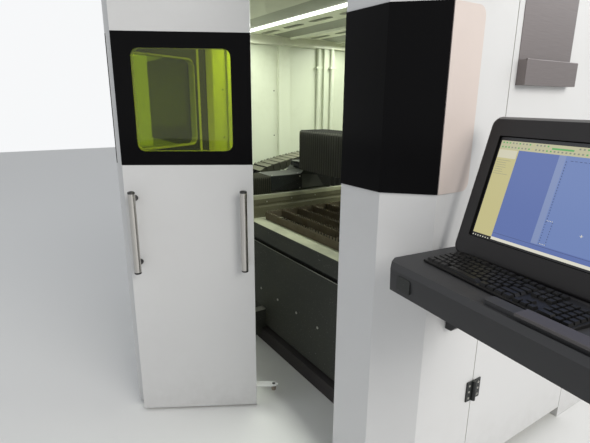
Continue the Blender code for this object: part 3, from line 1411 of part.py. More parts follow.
def console_tray(body):
    """The wedge-fronted tray with its raised palm rest."""
    slope = TRAY_TOP - TRAY_BOTTOM
    side = [
        (TRAY_FRONT + TRAY_NOSE, TRAY_BOTTOM),
        (TRAY_BACK, TRAY_BOTTOM),
        (TRAY_BACK, TRAY_TOP),
        (TRAY_FRONT + TRAY_NOSE / 3, TRAY_TOP),
        (TRAY_FRONT, TRAY_TOP - slope / 6),
        (TRAY_FRONT + TRAY_NOSE / 4, TRAY_BOTTOM + slope / 8),
    ]
    made = piece("console_tray", prism(side, "X", TRAY_LEFT, TRAY_RIGHT), "charcoal", body)
    front = TRAY_FRONT + PALM_FROM_FRONT + TRAY_NOSE / 3
    rest = rounded(
        (PALM_LEFT, front),
        (TRAY_RIGHT - PALM_FROM_FRONT, front + PALM_DEPTH),
        PALM_FROM_FRONT,
        steps=3,
    )
    join(made, [prism(rest, "Z", TRAY_TOP - FUSE, TRAY_TOP + PALM_HEIGHT)], "palm_rest")
    corners = []
    for x, side_sign in ((TRAY_LEFT, 1), (TRAY_RIGHT, -1)):
        outline = [
            (x - side_sign * OVERRUN, TRAY_FRONT - OVERRUN),
            (x + side_sign * TRAY_CORNER, TRAY_FRONT - OVERRUN),
            (x - side_sign * OVERRUN, TRAY_FRONT + TRAY_CORNER + OVERRUN),
        ]
        corners.append(prism(outline, "Z", TRAY_BOTTOM - OVERRUN, TRAY_TOP + OVERRUN + PALM_HEIGHT))
    cut(made, corners, "corners")


def keyboard(body):
    """A low wedge whose top is divided into raised keys."""
    solid = bmesh.new()
    columns = KEY_COLUMNS
    rows = KEY_ROWS
    low = TRAY_TOP + SEAT_GAP

    def height(share):
        return low + KEYBOARD_HEIGHT + KEYBOARD_RISE * share

    grid = []
    for row in range(rows + 1):
        y = KEYBOARD_DEPTH * row / rows
        line = []
        for column in range(columns + 1):
            x = KEYBOARD_WIDTH * column / columns
            line.append(solid.verts.new((x, y, height(row / rows))))
        grid.append(line)
    keys = []
    for row in range(rows):
        for column in range(columns):
            near, far = grid[row], grid[row + 1]
            corners = (near[column], near[column + 1], far[column + 1], far[column])
            keys.append(solid.faces.new(corners))
    edge = [grid[0][c] for c in range(columns + 1)]
    edge += [grid[r][columns] for r in range(1, rows + 1)]
    edge += [grid[rows][c] for c in range(columns - 1, -1, -1)]
    edge += [grid[r][0] for r in range(rows - 1, 0, -1)]
    foot = [solid.verts.new((vert.co.x, vert.co.y, low)) for vert in edge]
    for i, vert in enumerate(edge):
        after = (i + 1) % len(edge)
        solid.faces.new((edge[after], vert, foot[i], foot[after]))
    solid.faces.new(foot)
    bmesh.ops.recalc_face_normals(solid, faces=solid.faces)
    bmesh.ops.inset_individual(solid, faces=keys, thickness=KEY_GAP, depth=0.0)
    bmesh.ops.inset_individual(solid, faces=keys, thickness=KEY_GAP / 2, depth=KEY_TRAVEL)
    turned(solid, math.radians(KEYBOARD_TURN_DEGREES))
    solid.transform(Matrix.Translation((KEYBOARD_LEFT, KEYBOARD_FRONT, 0.0)))
    piece("keyboard", solid, "key_black", body)


def monitor(body):
    """The leaning housing with its flat foot and recessed screen."""
    foot_z = TRAY_TOP + SEAT_GAP
    lean = math.atan2(MONITOR_TOP_Y - MONITOR_FOOT_Y, MONITOR_TOP_Z - foot_z)
    back = Vector((math.cos(lean), -math.sin(lean))) * MONITOR_DEPTH
    top = (MONITOR_TOP_Y + back.x, MONITOR_TOP_Z + back.y)
    heel = MONITOR_FOOT_Y + MONITOR_DEPTH / math.cos(lean)
    side = [(MONITOR_FOOT_Y, foot_z), (heel, foot_z), top, (MONITOR_TOP_Y, MONITOR_TOP_Z)]
    right = MONITOR_LEFT + MONITOR_WIDTH
    made = piece("monitor_housing", prism(side, "X", MONITOR_LEFT, right), "charcoal", body)
    middle = MONITOR_LEFT + MONITOR_WIDTH / 2
    half = SCREEN_WIDTH / 2
    upper = MONITOR_TOP_Z - SCREEN_FROM_TOP
    lower = upper - SCREEN_HEIGHT
    about = (0.0, MONITOR_TOP_Y, MONITOR_TOP_Z)

    def leaning(outline, near, far):
        plate = prism(outline, "Y", MONITOR_TOP_Y + near, MONITOR_TOP_Y + far)
        return turned(plate, -lean, "X", about)

    room = rounded((middle - half, lower), (middle + half, upper), SCREEN_CORNER, steps=2)
    cut(made, [leaning(room, -OVERRUN, SCREEN_RECESS)])
    inside = (
        (middle - half + SEAT_GAP, lower + SEAT_GAP),
        (middle + half - SEAT_GAP, upper - SEAT_GAP),
    )
    face = rounded(*inside, SCREEN_CORNER, steps=2)
    back_of_screen = SCREEN_RECESS - SEAT_GAP
    glass = leaning(face, back_of_screen - SCREEN_THICKNESS, back_of_screen)
    piece("monitor_screen", glass, "screen_glow", body)


def main():
    for old in list(bpy.data.objects):
        bpy.data.objects.remove(old, do_unlink=True)
    root = bpy.data.objects.new("laser_cutting_machine", None)
    bpy.context.scene.collection.objects.link(root)
    pillar("right_pillar", 1, root, True)
    pillar("left_pillar", -1, root, False)
    pillar_band("right_pillar_band", 1, root)
    pillar_band("left_pillar_band", -1, root)
    side_inset(root)
    header(root)
    front_panel(root)
    walls(root)
    ceiling(root)
    service_door(root)
    bifold_door(root)
    bed(root)
    slat_table(root)
    guides(root)
    rail_guards(root)
    energy_chain(root)
    gantry(root)
    source_cabinet(root)
    console(root)


main()
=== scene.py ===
"""Looks of an enclosed fiber laser cutting machine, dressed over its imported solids.

Every size is in metres, in the frame of the solids: +Z up, -Y out through the doorway, +X towards
the operator console. Each sub-assembly is a class whose fields are its sizes and whose methods
build its meshes. What repeats is made by geometry nodes, and each finish by shader nodes.
"""

import json
import logging
import math
import random
from contextlib import contextmanager
from dataclasses import dataclass, replace
from enum import Enum
from typing import Callable, Iterable, Iterator, Sequence

import bmesh
import bpy
from mathutils import Matrix, Vector

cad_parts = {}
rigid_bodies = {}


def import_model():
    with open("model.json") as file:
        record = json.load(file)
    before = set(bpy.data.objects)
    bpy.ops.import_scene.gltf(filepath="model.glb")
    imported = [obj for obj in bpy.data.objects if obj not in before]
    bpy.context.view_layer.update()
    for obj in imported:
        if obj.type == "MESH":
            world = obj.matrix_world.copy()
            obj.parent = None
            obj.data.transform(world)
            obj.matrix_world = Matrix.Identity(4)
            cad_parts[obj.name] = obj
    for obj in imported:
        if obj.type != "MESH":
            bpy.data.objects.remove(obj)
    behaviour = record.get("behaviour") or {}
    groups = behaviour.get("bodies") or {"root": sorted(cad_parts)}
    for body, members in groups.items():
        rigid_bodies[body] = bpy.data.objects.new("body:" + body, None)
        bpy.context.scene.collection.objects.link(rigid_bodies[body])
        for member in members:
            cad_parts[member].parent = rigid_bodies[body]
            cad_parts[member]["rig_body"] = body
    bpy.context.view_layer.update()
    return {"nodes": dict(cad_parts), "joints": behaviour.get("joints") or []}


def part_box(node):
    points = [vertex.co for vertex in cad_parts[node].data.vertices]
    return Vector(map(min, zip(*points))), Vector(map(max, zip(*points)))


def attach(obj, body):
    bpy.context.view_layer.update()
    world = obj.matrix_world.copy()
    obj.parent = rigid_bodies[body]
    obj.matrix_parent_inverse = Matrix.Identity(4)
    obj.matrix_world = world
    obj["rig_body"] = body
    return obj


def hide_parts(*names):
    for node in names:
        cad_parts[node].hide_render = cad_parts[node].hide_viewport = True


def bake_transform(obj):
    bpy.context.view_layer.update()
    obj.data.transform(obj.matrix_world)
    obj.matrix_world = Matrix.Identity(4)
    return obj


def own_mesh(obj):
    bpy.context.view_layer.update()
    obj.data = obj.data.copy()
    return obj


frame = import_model()

Point2 = tuple[float, float]
Point3 = tuple[float, float, float]
Colour = tuple[float, float, float]
Solid = bmesh.types.BMesh
Piece = bpy.types.Object
Socket = bpy.types.NodeSocket

LOG = logging.getLogger("laser_cutting_machine")
MERGE = 0.00002
SEAT = 0.0004
SHARP = math.radians(34)
CREASE = math.radians(38)
FLAT = math.radians(0.6)


class Axis(Enum):
    """The axis that a prism runs along."""

    X = "X"
    Y = "Y"
    Z = "Z"


# Finishes


@dataclass(frozen=True)
class Finish:
    """One surface finish, with its colour, its weathering and its grain.

    Dirt tints broad patches, soil darkens what is near the floor, and dust lies on what faces up.
    """

    name: str
    slot: str
    colour: Colour
    roughness: float
    metallic: float = 0.0
    dirt: float = 0.12
    dirt_colour: Colour = (0.30, 0.28, 0.25)
    dirt_scale: float = 2.2
    soil: float = 0.0
    soil_height: float = 0.35
    dust: float = 0.0
    dust_colour: Colour = (0.36, 0.35, 0.31)
    speckle: float = 0.0
    speckle_colour: Colour = (0.55, 0.54, 0.50)
    grain: float = 0.00008
    grain_scale: float = 420.0
    brushing: Point3 | None = None
    specular: float = 0.5
    emission: Colour | None = None
    emission_strength: float = 0.0
    transmission: float = 0.0


WHITE_PAINT = Finish(
    "white powder coat", "white_paint", (0.60, 0.60, 0.60), 0.40,
    dirt=0.10, dirt_colour=(0.40, 0.39, 0.37), soil=0.30, grain=0.00006,
)
TEXTURED_WHITE = replace(
    WHITE_PAINT, name="textured white paint", roughness=0.46, grain=0.00045, grain_scale=230.0,
)
INNER_WHITE = replace(
    WHITE_PAINT, name="inner white paint", colour=(0.54, 0.57, 0.45), dirt=0.30,
    dirt_colour=(0.38, 0.39, 0.28), soil=0.45,
)
# A darker copy of the inner paint for the slanted ceiling plates: painted shade.
INNER_SHADED_GREY = replace(
    INNER_WHITE, name="slanted plate grey", colour=(0.24, 0.25, 0.19), dirt_colour=(0.18, 0.18, 0.12),
)
# A lighter copy of the inner paint for the roof beams: painted light.
BEAM_PAINTED_LIGHT = replace(INNER_WHITE, name="roof beam grey", colour=(0.72, 0.73, 0.60))
# A lighter copy of the ceiling paint for the bays behind the lit lamp: painted light.
CEILING_LIT = replace(INNER_WHITE, name="ceiling paint, lit bays", colour=(0.86, 0.88, 0.70))
CEILING_PALE = replace(INNER_WHITE, name="ceiling paint, sooty", colour=(0.56, 0.57, 0.45))
GLOSS_BLACK = Finish(
    "gloss black panel", "gloss_black", (0.0035, 0.0034, 0.0038), 0.14,
    dirt=0.10, dirt_colour=(0.012, 0.012, 0.012), grain=0.00002, grain_scale=120.0, specular=0.05,
)
SATIN_GREY = Finish("satin grey panel", "satin_grey", (0.60, 0.52, 0.48), 0.42, metallic=0.05, dirt=0.10)
ROLLER_BROWN = Finish(
    "guide roller plastic", "satin_grey", (0.16, 0.13, 0.10), 0.5, dirt=0.4, dirt_colour=(0.07, 0.06, 0.05),
)
LASER_WINDOW = Finish(
    "laser safety window", "laser_window", (0.395, 0.475, 0.009), 0.03,
    dirt=0.0, grain=0.0, transmission=1.0,
)
WINDOW_FRAME = Finish(
    "window frame black", "gloss_black", (0.010, 0.010, 0.009), 0.50, dirt=0.10, dirt_colour=(0.04, 0.04, 0.03),
    specular=0.3,
)
BED_PAINT = Finish(
    "bed grey paint", "bed_grey", (0.030, 0.032, 0.027), 0.50,
    dirt=0.30, dirt_colour=(0.075, 0.074, 0.052), dust=0.95, dust_colour=(0.42, 0.43, 0.31),
    speckle=0.30, grain=0.00010, soil=0.2, specular=0.35,
)
BED_WALL = replace(
    BED_PAINT, name="bed wall, dusty", colour=(0.110, 0.104, 0.064), dirt=0.55,
    dirt_colour=(0.19, 0.18, 0.11), dust=0.5, dust_colour=(0.26, 0.26, 0.18),
)
# Darker paint for the pit under the slats: soot and painted shade.
BED_INSIDE_SHADE = replace(BED_PAINT, name="bed inside, sooty, painted shade", colour=(0.020, 0.020, 0.016), dirt=0.5, dust=0.25)
# Near-black paint that stands for deep shade: painted shade in the bed's slot, behind the front cover and on the trucks
# under the beam.
PAINTED_SHADE_BLACK = replace(BED_PAINT, name="painted shade black", colour=(0.006, 0.006, 0.006), dirt=0.1, dust=0.05)
# A pale line on the front cover's upper edge: a painted highlight.
PANEL_EDGE_HIGHLIGHT = replace(BED_PAINT, name="cover edge, rubbed bare", colour=(0.42, 0.43, 0.38), dust=0.2, specular=0.5)
BED_LIP = replace(
    BED_PAINT, name="rail wall lip, dusty", colour=(0.30, 0.30, 0.205), dirt=0.45, dirt_colour=(0.38, 0.38, 0.26),
)
SERVICE_GREY = replace(BED_PAINT, name="service block grey", dust=1.0, dust_colour=(0.30, 0.30, 0.26))
PLINTH_BLACK = Finish(
    "plinth black", "bed_grey", (0.020, 0.017, 0.018), 0.75, dirt=0.3, dirt_colour=(0.045, 0.038, 0.034), soil=0.5,
)
SLAT_STEEL = Finish(
    "burnt slat steel", "slat_steel", (0.13, 0.105, 0.070), 0.60, metallic=0.55,
    dirt=0.75, dirt_colour=(0.070, 0.048, 0.028), dirt_scale=9.0, speckle=0.25,
    speckle_colour=(0.34, 0.32, 0.26), grain=0.00025, grain_scale=300.0,
)
HOLDER_STEEL = replace(
    SLAT_STEEL, name="slat holder steel, pale with dross", dirt=0.5, dirt_colour=(0.20, 0.19, 0.14), speckle=0.5,
    speckle_colour=(0.42, 0.42, 0.35),
)
RAIL_STEEL = Finish(
    "ground rail steel", "rail_steel", (0.50, 0.51, 0.53), 0.24, metallic=1.0,
    brushing=(900.0, 8.0, 900.0), grain=0.00002,
)
PLEAT_FABRIC = Finish(
    "pleated guard fabric", "pleat_fabric", (0.050, 0.050, 0.036), 0.80,
    dirt=0.45, dirt_colour=(0.11, 0.11, 0.075), dust=0.35, dust_colour=(0.17, 0.175, 0.125), grain=0.00012,
    grain_scale=900.0, specular=0.25,
)
COVER_FABRIC = replace(
    PLEAT_FABRIC, name="beam cover fabric", slot="cover_grey", colour=(0.060, 0.060, 0.050), dust=0.22,
    dirt_colour=(0.11, 0.11, 0.090),
)
# A darker copy of the cover fabric for the fold valleys: painted shade.
COVER_VALLEY_SHADE = replace(COVER_FABRIC, name="beam cover valleys", colour=(0.014, 0.014, 0.011), dirt=0.2, dust=0.0)
# A near-black copy for the covers' insides and the rear guards: painted shade.
SHADED_FABRIC = replace(COVER_VALLEY_SHADE, name="guard fabric, oily black", colour=(0.004, 0.004, 0.0035), dirt=0.05)
RISER_GREY = Finish(
    "truck riser grey", "machine_black", (0.034, 0.035, 0.031), 0.5, dirt=0.3, dirt_colour=(0.07, 0.07, 0.055),
)
MACHINE_BLACK = Finish(
    "machine black", "machine_black", (0.012, 0.014, 0.014), 0.40,
    dirt=0.30, dirt_colour=(0.055, 0.055, 0.045), dust=0.28, dust_colour=(0.15, 0.155, 0.135),
    speckle=0.20, specular=0.35,
)
ALUMINIUM = Finish(
    "plain aluminium", "aluminium", (0.52, 0.53, 0.54), 0.38, metallic=0.9,
    dirt=0.25, dirt_colour=(0.26, 0.26, 0.24), brushing=(60.0, 60.0, 900.0), grain=0.00003,
)
STAINLESS = Finish(
    "brushed stainless", "stainless", (0.50, 0.485, 0.46), 0.30, metallic=1.0,
    dirt=0.12, dirt_colour=(0.28, 0.27, 0.25), brushing=(900.0, 900.0, 14.0), grain=0.00003,
)
POCKET_STEEL = replace(
    STAINLESS, name="pocket steel", colour=(0.205, 0.182, 0.178), roughness=0.42, brushing=(900.0, 12.0, 900.0),
)
COPPER = Finish("turned copper", "copper", (0.66, 0.34, 0.20), 0.28, metallic=1.0, dirt=0.4, dirt_scale=40.0)
CHAIN_PLASTIC = Finish(
    "chain plastic", "chain_black", (0.035, 0.036, 0.024), 0.58,
    dirt=0.4, dirt_colour=(0.085, 0.085, 0.055), dust=0.6, dust_colour=(0.20, 0.20, 0.14), specular=0.3,
)
HOSE_BLACK = Finish("hose black", "chain_black", (0.010, 0.010, 0.010), 0.55, dirt=0.2, dust=0.2, specular=0.3)
CHARCOAL = Finish(
    "charcoal textured paint", "charcoal", (0.026, 0.026, 0.028), 0.48,
    dirt=0.15, dirt_colour=(0.06, 0.06, 0.06), dust=0.10, dust_colour=(0.15, 0.15, 0.15),
    grain=0.00020, grain_scale=520.0, specular=0.35,
)
MONITOR_BLACK = replace(CHARCOAL, name="monitor charcoal", colour=(0.012, 0.0105, 0.011), grain=0.00012, specular=0.3)
MONITOR_DUSTY = replace(MONITOR_BLACK, name="monitor's dusty upper edge", colour=(0.19, 0.185, 0.18), specular=0.5)
SCREEN_RIM = replace(MONITOR_BLACK, name="screen rim black", colour=(0.003, 0.003, 0.003), specular=0.1)
KEY_BLACK = Finish("key black", "key_black", (0.0035, 0.0035, 0.004), 0.36, dirt=0.05, dust=0.02, specular=0.22)
PALM_GREY = Finish("palm rest grey", "key_black", (0.060, 0.054, 0.055), 0.42, dirt=0.3, dirt_colour=(0.11, 0.10, 0.10))
DARK_STEEL = Finish(
    "blackened fastener steel", "machine_black", (0.045, 0.045, 0.045), 0.42, metallic=0.8, dirt=0.3,
)
BRIGHT_STEEL = Finish("bright fastener steel", "rail_steel", (0.55, 0.54, 0.50), 0.30, metallic=1.0, dirt=0.2)
RUBBER = Finish("black rubber", "gloss_black", (0.012, 0.012, 0.012), 0.70, dirt=0.2, specular=0.2)
LAMP = Finish(
    "lit lamp strip", "lamp_white", (0.95, 1.0, 0.93), 0.3, dirt=0.0, grain=0.0,
    emission=(0.93, 1.0, 0.88), emission_strength=3.0,
)
# The unlit lenses' pale colour is partly the milky lens and partly painted glow.
LAMP_OFF_GLOW = Finish("unlit lamp lens, painted glow", "lamp_white", (0.74, 0.77, 0.62), 0.30, dirt=0.15, dirt_colour=(0.5, 0.5, 0.38))


class ScreenTone(Enum):
    """Colours of the plain drawing program on the monitor, as they glow."""

    TOOLBAR = (0.56, 0.54, 0.34)
    PANEL = (0.60, 0.55, 0.26)
    PAPER = (0.70, 0.67, 0.50)
    FIELD = (0.115, 0.175, 0.44)
    BAND = (0.165, 0.245, 0.52)
    MIST = (0.235, 0.305, 0.53)
    SHADED = (0.26, 0.27, 0.22)
    LINE = (0.05, 0.07, 0.15)
    BRIGHT = (0.80, 0.78, 0.66)
    GREEN = (0.12, 0.42, 0.12)
    DARK = (0.004, 0.004, 0.005)


def screen_finish(tone: ScreenTone) -> Finish:
    """The lit finish of one part of the screen."""
    return Finish(
        f"screen {tone.name.lower()}", "screen_glow", (0.012, 0.012, 0.014), 0.22, dirt=0.0, grain=0.0,
        specular=0.3, emission=tone.value, emission_strength=0.85,
    )


# Shader nodes


WORN_COLOURS = ("Colour", "Dirt Colour", "Dust Colour", "Speckle Colour")
WORN_AMOUNTS = ("Dirt", "Dirt Scale", "Soil", "Soil Height", "Dust", "Speckle")


def add_sockets(tree: bpy.types.NodeTree, side: str, sockets: Sequence[tuple]) -> None:
    """Adds named sockets to a node group.

    Args:
        tree: the group.
        side: INPUT or OUTPUT.
        sockets: (name, kind) or (name, kind, default) of each.
    """
    for name, kind, *default in sockets:
        made = tree.interface.new_socket(name, in_out=side, socket_type=f"NodeSocket{kind}")
        if default:
            made.default_value = default[0]


class Graph:
    """Adds and links nodes in one tree."""

    def __init__(self, tree: bpy.types.NodeTree) -> None:
        """Starts on an existing tree."""
        self.tree = tree

    def fill(self, node: bpy.types.Node, inputs: dict) -> bpy.types.Node:
        """Gives a node's inputs their values.

        Args:
            node: the node.
            inputs: socket name or number to a value, or to an output socket to link.

        Returns:
            The same node.
        """
        for key, value in inputs.items():
            if isinstance(value, Socket):
                self.tree.links.new(value, node.inputs[key])
            else:
                node.inputs[key].default_value = value
        return node

    def add(self, kind: str, inputs: dict | None = None, **settings: object) -> bpy.types.Node:
        """A new node, with its properties set and then its inputs filled.

        Args:
            kind: the node's type name.
            inputs: what its inputs get.
            settings: its properties.

        Returns:
            The node.
        """
        node = self.tree.nodes.new(kind)
        for key, value in settings.items():
            setattr(node, key, value)
        return self.fill(node, inputs or {})

    def out(self, kind: str, inputs: dict | None = None, **settings: object) -> Socket:
        """The first output of a new node."""
        return self.add(kind, inputs, **settings).outputs[0]

    def math(self, operation: str, *values: object, clamp: bool = False) -> Socket:
        """A Math node's result."""
        return self.out("ShaderNodeMath", dict(enumerate(values)), operation=operation, use_clamp=clamp)

    def times(self, first: object, second: object) -> Socket:
        """The product of two values."""
        return self.math("MULTIPLY", first, second)

    def upward(self, vector: Socket) -> Socket:
        """The Z part of a vector."""
        return self.add("ShaderNodeSeparateXYZ", {0: vector}).outputs["Z"]

    def vector(self, **parts: object) -> Socket:
        """A vector put together from its X, Y and Z."""
        return self.out("ShaderNodeCombineXYZ", parts)

    def span(self, value: object, low: float, high: float, start: float, end: float) -> Socket:
        """A value mapped from one range to another, clamped."""
        inputs = {"Value": value, "From Min": low, "From Max": high, "To Min": start, "To Max": end}
        return self.out("ShaderNodeMapRange", inputs, interpolation_type="SMOOTHSTEP")

    def noise(self, vector: object, scale: object, detail: float, roughness: float) -> Socket:
        """A noise texture's value."""
        inputs = {"Vector": vector, "Scale": scale, "Detail": detail, "Roughness": roughness}
        return self.out("ShaderNodeTexNoise", inputs)

    def blend(self, factor: object, first: object, second: object) -> Socket:
        """Two colours mixed by a factor."""
        return self.add("ShaderNodeMix", {0: factor, 6: first, 7: second}, data_type="RGBA").outputs[2]


def new_group(name: str, inputs: Sequence[tuple], outputs: Sequence[tuple]) -> tuple[Graph, dict, bpy.types.Node]:
    """A shader node group with named sockets.

    Args:
        name: the group's name.
        inputs: (name, kind) or (name, kind, default) of each input.
        outputs: (name, kind) of each output.

    Returns:
        The graph, its input sockets by name, and its output node.
    """
    tree = bpy.data.node_groups.new(name, "ShaderNodeTree")
    add_sockets(tree, "INPUT", inputs)
    add_sockets(tree, "OUTPUT", outputs)
    graph = Graph(tree)
    return graph, graph.add("NodeGroupInput").outputs, graph.add("NodeGroupOutput")


def weathering_group() -> bpy.types.NodeTree:
    """Tints a colour with patchy dirt, soil near the floor, dust on top and fine specks.

    Returns:
        The group, which puts out the colour and how much roughness the weathering adds.
    """
    graph, given, end = new_group(
        "weathering",
        [
            ("Vector", "Vector"), *((name, "Color") for name in WORN_COLOURS),
            *((name, "Float") for name in WORN_AMOUNTS),
        ],
        [("Colour", "Color"), ("Added Roughness", "Float")],
    )
    place, span = given["Vector"], graph.span
    broad = graph.noise(place, given["Dirt Scale"], 6.0, 0.62)
    fine = graph.noise(place, graph.times(given["Dirt Scale"], 9.0), 4.0, 0.6)
    patch = graph.times(span(broad, 0.42, 0.72, 0.0, 1.0), span(fine, 0.3, 0.7, 0.4, 1.0))
    dirt = graph.times(patch, given["Dirt"])
    sunk = graph.math("DIVIDE", graph.upward(place), given["Soil Height"], clamp=True)
    low = graph.math("POWER", graph.math("SUBTRACT", 1.0, sunk, clamp=True), 2.0)
    splash = graph.times(low, span(fine, 0.25, 0.7, 0.2, 1.0))
    soiled = graph.math("ADD", dirt, graph.times(splash, given["Soil"]), clamp=True)
    upward = graph.upward(graph.add("ShaderNodeNewGeometry").outputs["Normal"])
    settled = graph.times(span(upward, 0.35, 0.95, 0.0, 1.0), span(broad, 0.3, 0.7, 0.5, 1.0))
    dust = graph.times(settled, given["Dust"])
    specks = span(graph.noise(place, 140.0, 2.0, 0.5), 0.66, 0.74, 0.0, 1.0)
    colour = graph.blend(soiled, given["Colour"], given["Dirt Colour"])
    colour = graph.blend(graph.times(specks, given["Speckle"]), colour, given["Speckle Colour"])
    colour = graph.blend(dust, colour, given["Dust Colour"])
    rough = graph.math("ADD", graph.times(soiled, 0.22), graph.times(dust, 0.35))
    graph.fill(end, {"Colour": colour, "Added Roughness": rough})
    return graph.tree


def grain_group() -> bpy.types.NodeTree:
    """The height of a fine moulded or sprayed surface."""
    inputs = [("Vector", "Vector"), ("Scale", "Float", 400.0)]
    graph, given, end = new_group("grain", inputs, [("Height", "Float")])
    pebble = graph.noise(given["Vector"], given["Scale"], 2.0, 0.55)
    wave = graph.noise(given["Vector"], graph.times(given["Scale"], 0.06), 2.0, 0.5)
    graph.fill(end, {"Height": graph.math("ADD", pebble, wave)})
    return graph.tree


def brushing_group() -> bpy.types.NodeTree:
    """Fine parallel scratches: their height and their change of roughness."""
    inputs = [("Vector", "Vector"), ("Stretch", "Vector", (900.0, 900.0, 14.0))]
    graph, given, end = new_group("brushing", inputs, [("Height", "Float"), ("Roughness", "Float")])
    both = {0: given["Vector"], 1: given["Stretch"]}
    lines = graph.noise(graph.out("ShaderNodeVectorMath", both, operation="MULTIPLY"), 1.0, 3.0, 0.6)
    graph.fill(end, {"Height": lines, "Roughness": graph.span(lines, 0.3, 0.7, -0.07, 0.10)})
    return graph.tree


class Paints:
    """Makes each finish once, from the shared groups."""

    def __init__(self) -> None:
        """Builds the shared groups."""
        self.weathering, self.grain, self.brushing = weathering_group(), grain_group(), brushing_group()
        self.made: dict[str, bpy.types.Material] = {}

    def of(self, finish: Finish) -> bpy.types.Material:
        """The material of a finish, made on its first use."""
        if finish.name not in self.made:
            self.made[finish.name] = self.build(finish)
        return self.made[finish.name]

    def build(self, finish: Finish) -> bpy.types.Material:
        """Builds one material.

        Args:
            finish: its colours, weathering and grain.

        Returns:
            The new material.
        """
        material = bpy.data.materials.new(finish.name)
        material.use_nodes = True
        graph = Graph(material.node_tree)
        place = graph.add("ShaderNodeTexCoord").outputs["Object"]
        said = {name: getattr(finish, name.lower().replace(" ", "_")) for name in WORN_COLOURS + WORN_AMOUNTS}
        wear = {name: (*value, 1.0) if name in WORN_COLOURS else value for name, value in said.items()}
        worn = graph.add("ShaderNodeGroup", {"Vector": place, **wear}, node_tree=self.weathering).outputs
        rough = graph.math("ADD", worn["Added Roughness"], finish.roughness, clamp=True)
        height = None
        if finish.brushing is not None:
            inputs = {"Vector": place, "Stretch": finish.brushing}
            lines = graph.add("ShaderNodeGroup", inputs, node_tree=self.brushing).outputs
            rough = graph.math("ADD", rough, lines["Roughness"], clamp=True)
            height = lines["Height"]
        elif finish.grain > 0:
            inputs = {"Vector": place, "Scale": finish.grain_scale}
            height = graph.out("ShaderNodeGroup", inputs, node_tree=self.grain)
        surface = {
            "Base Color": worn["Colour"], "Metallic": finish.metallic, "Specular IOR Level": finish.specular,
            "Roughness": rough, "Transmission Weight": finish.transmission,
        }
        if height is not None:
            bump = {"Height": height, "Distance": finish.grain, "Strength": 1.0}
            surface["Normal"] = graph.out("ShaderNodeBump", bump)
        if finish.transmission > 0:
            surface |= {"Roughness": finish.roughness, "IOR": 1.45}
        if finish.emission is not None:
            surface |= {"Emission Color": (*finish.emission, 1.0), "Emission Strength": finish.emission_strength}
        graph.fill(material.node_tree.nodes["Principled BSDF"], surface)
        return material


PAINTS = Paints()


# Meshes


def lofted(loops: Sequence[Sequence[Point3]], capped: bool = True) -> Solid:
    """A closed solid through loops that have the same number of points.

    Args:
        loops: the loops, in order.
        capped: True where the first and last loop are filled, False where the last meets the first.

    Returns:
        The solid.
    """
    solid = bmesh.new()
    rows = [[solid.verts.new(point) for point in loop] for loop in loops]
    for first, second in zip(rows, rows[1:] if capped else rows[1:] + rows[:1]):
        for number in range(len(first)):
            after = (number + 1) % len(first)
            solid.faces.new((first[number], first[after], second[after], second[number]))
    if capped:
        solid.faces.new(rows[0])
        solid.faces.new(rows[-1])
    bmesh.ops.recalc_face_normals(solid, faces=solid.faces)
    return solid


def prism(points: Sequence[Point2], axis: Axis, low: float, high: float) -> Solid:
    """A closed prism over a flat outline.

    Args:
        points: the outline, in order.
        axis: the axis that it is extruded along; the outline's pair is the other two, in order.
        low: where it starts on that axis.
        high: where it ends.

    Returns:
        The solid.
    """
    spot = list(Axis).index(axis)
    return lofted([[(*point[:spot], along, *point[spot:]) for point in points] for along in (low, high)])


def block(low: Point3, high: Point3) -> Solid:
    """A block between two corners."""
    outline = [(low[0], low[1]), (high[0], low[1]), (high[0], high[1]), (low[0], high[1])]
    return prism(outline, Axis.Z, low[2], high[2])


def ring_points(radius: float, sides: int, centre: Point2 = (0.0, 0.0)) -> list[Point2]:
    """Points round a circle."""
    turns = [2 * math.pi * number / sides for number in range(sides)]
    return [(centre[0] + radius * math.cos(t), centre[1] + radius * math.sin(t)) for t in turns]


def rounded(low: Point2, high: Point2, radius: float, steps: int = 6) -> list[Point2]:
    """A rectangle with its corners turned by arcs.

    Args:
        low: its lowest corner.
        high: its highest corner.
        radius: the arcs' radius.
        steps: how many steps each arc has.

    Returns:
        Its outline, in order.
    """
    far, near = (high[0] - radius, high[1] - radius), (low[0] + radius, low[1] + radius)
    points = []
    for quarter, (x, y) in enumerate((far, (near[0], far[1]), near, (far[0], near[1]))):
        for step in range(steps + 1):
            turn = math.pi / 2 * (quarter + step / steps)
            points.append((x + radius * math.cos(turn), y + radius * math.sin(turn)))
    return points


def ring_plate(outer: Sequence[Point2], inner: Sequence[Point2], low: float, high: float) -> Solid:
    """A flat plate with one hole, lying in X and Z, between two places on Y; both outlines have as many points."""
    corners = ((outer, low), (outer, high), (inner, high), (inner, low))
    return lofted([[(x, y, z) for x, z in loop] for loop, y in corners], capped=False)


def lathe(profile: Sequence[Point2], sides: int) -> Solid:
    """A turned piece about Z.

    Args:
        profile: (radius, height) pairs; a radius of 0 lies on the axis.
        sides: steps round the axis.

    Returns:
        The solid.
    """
    solid = bmesh.new()
    rings = [
        [solid.verts.new((x, y, height)) for x, y in (ring_points(radius, sides) if radius else [(0.0, 0.0)])]
        for radius, height in profile
    ]
    for lower, upper in zip(rings, rings[1:]):
        for number in range(sides):
            corners = ((lower, number), (lower, number + 1), (upper, number + 1), (upper, number))
            face = list(dict.fromkeys(ring[spot % len(ring)] for ring, spot in corners))
            if len(face) > 2:
                solid.faces.new(face)
    bmesh.ops.recalc_face_normals(solid, faces=solid.faces)
    return solid


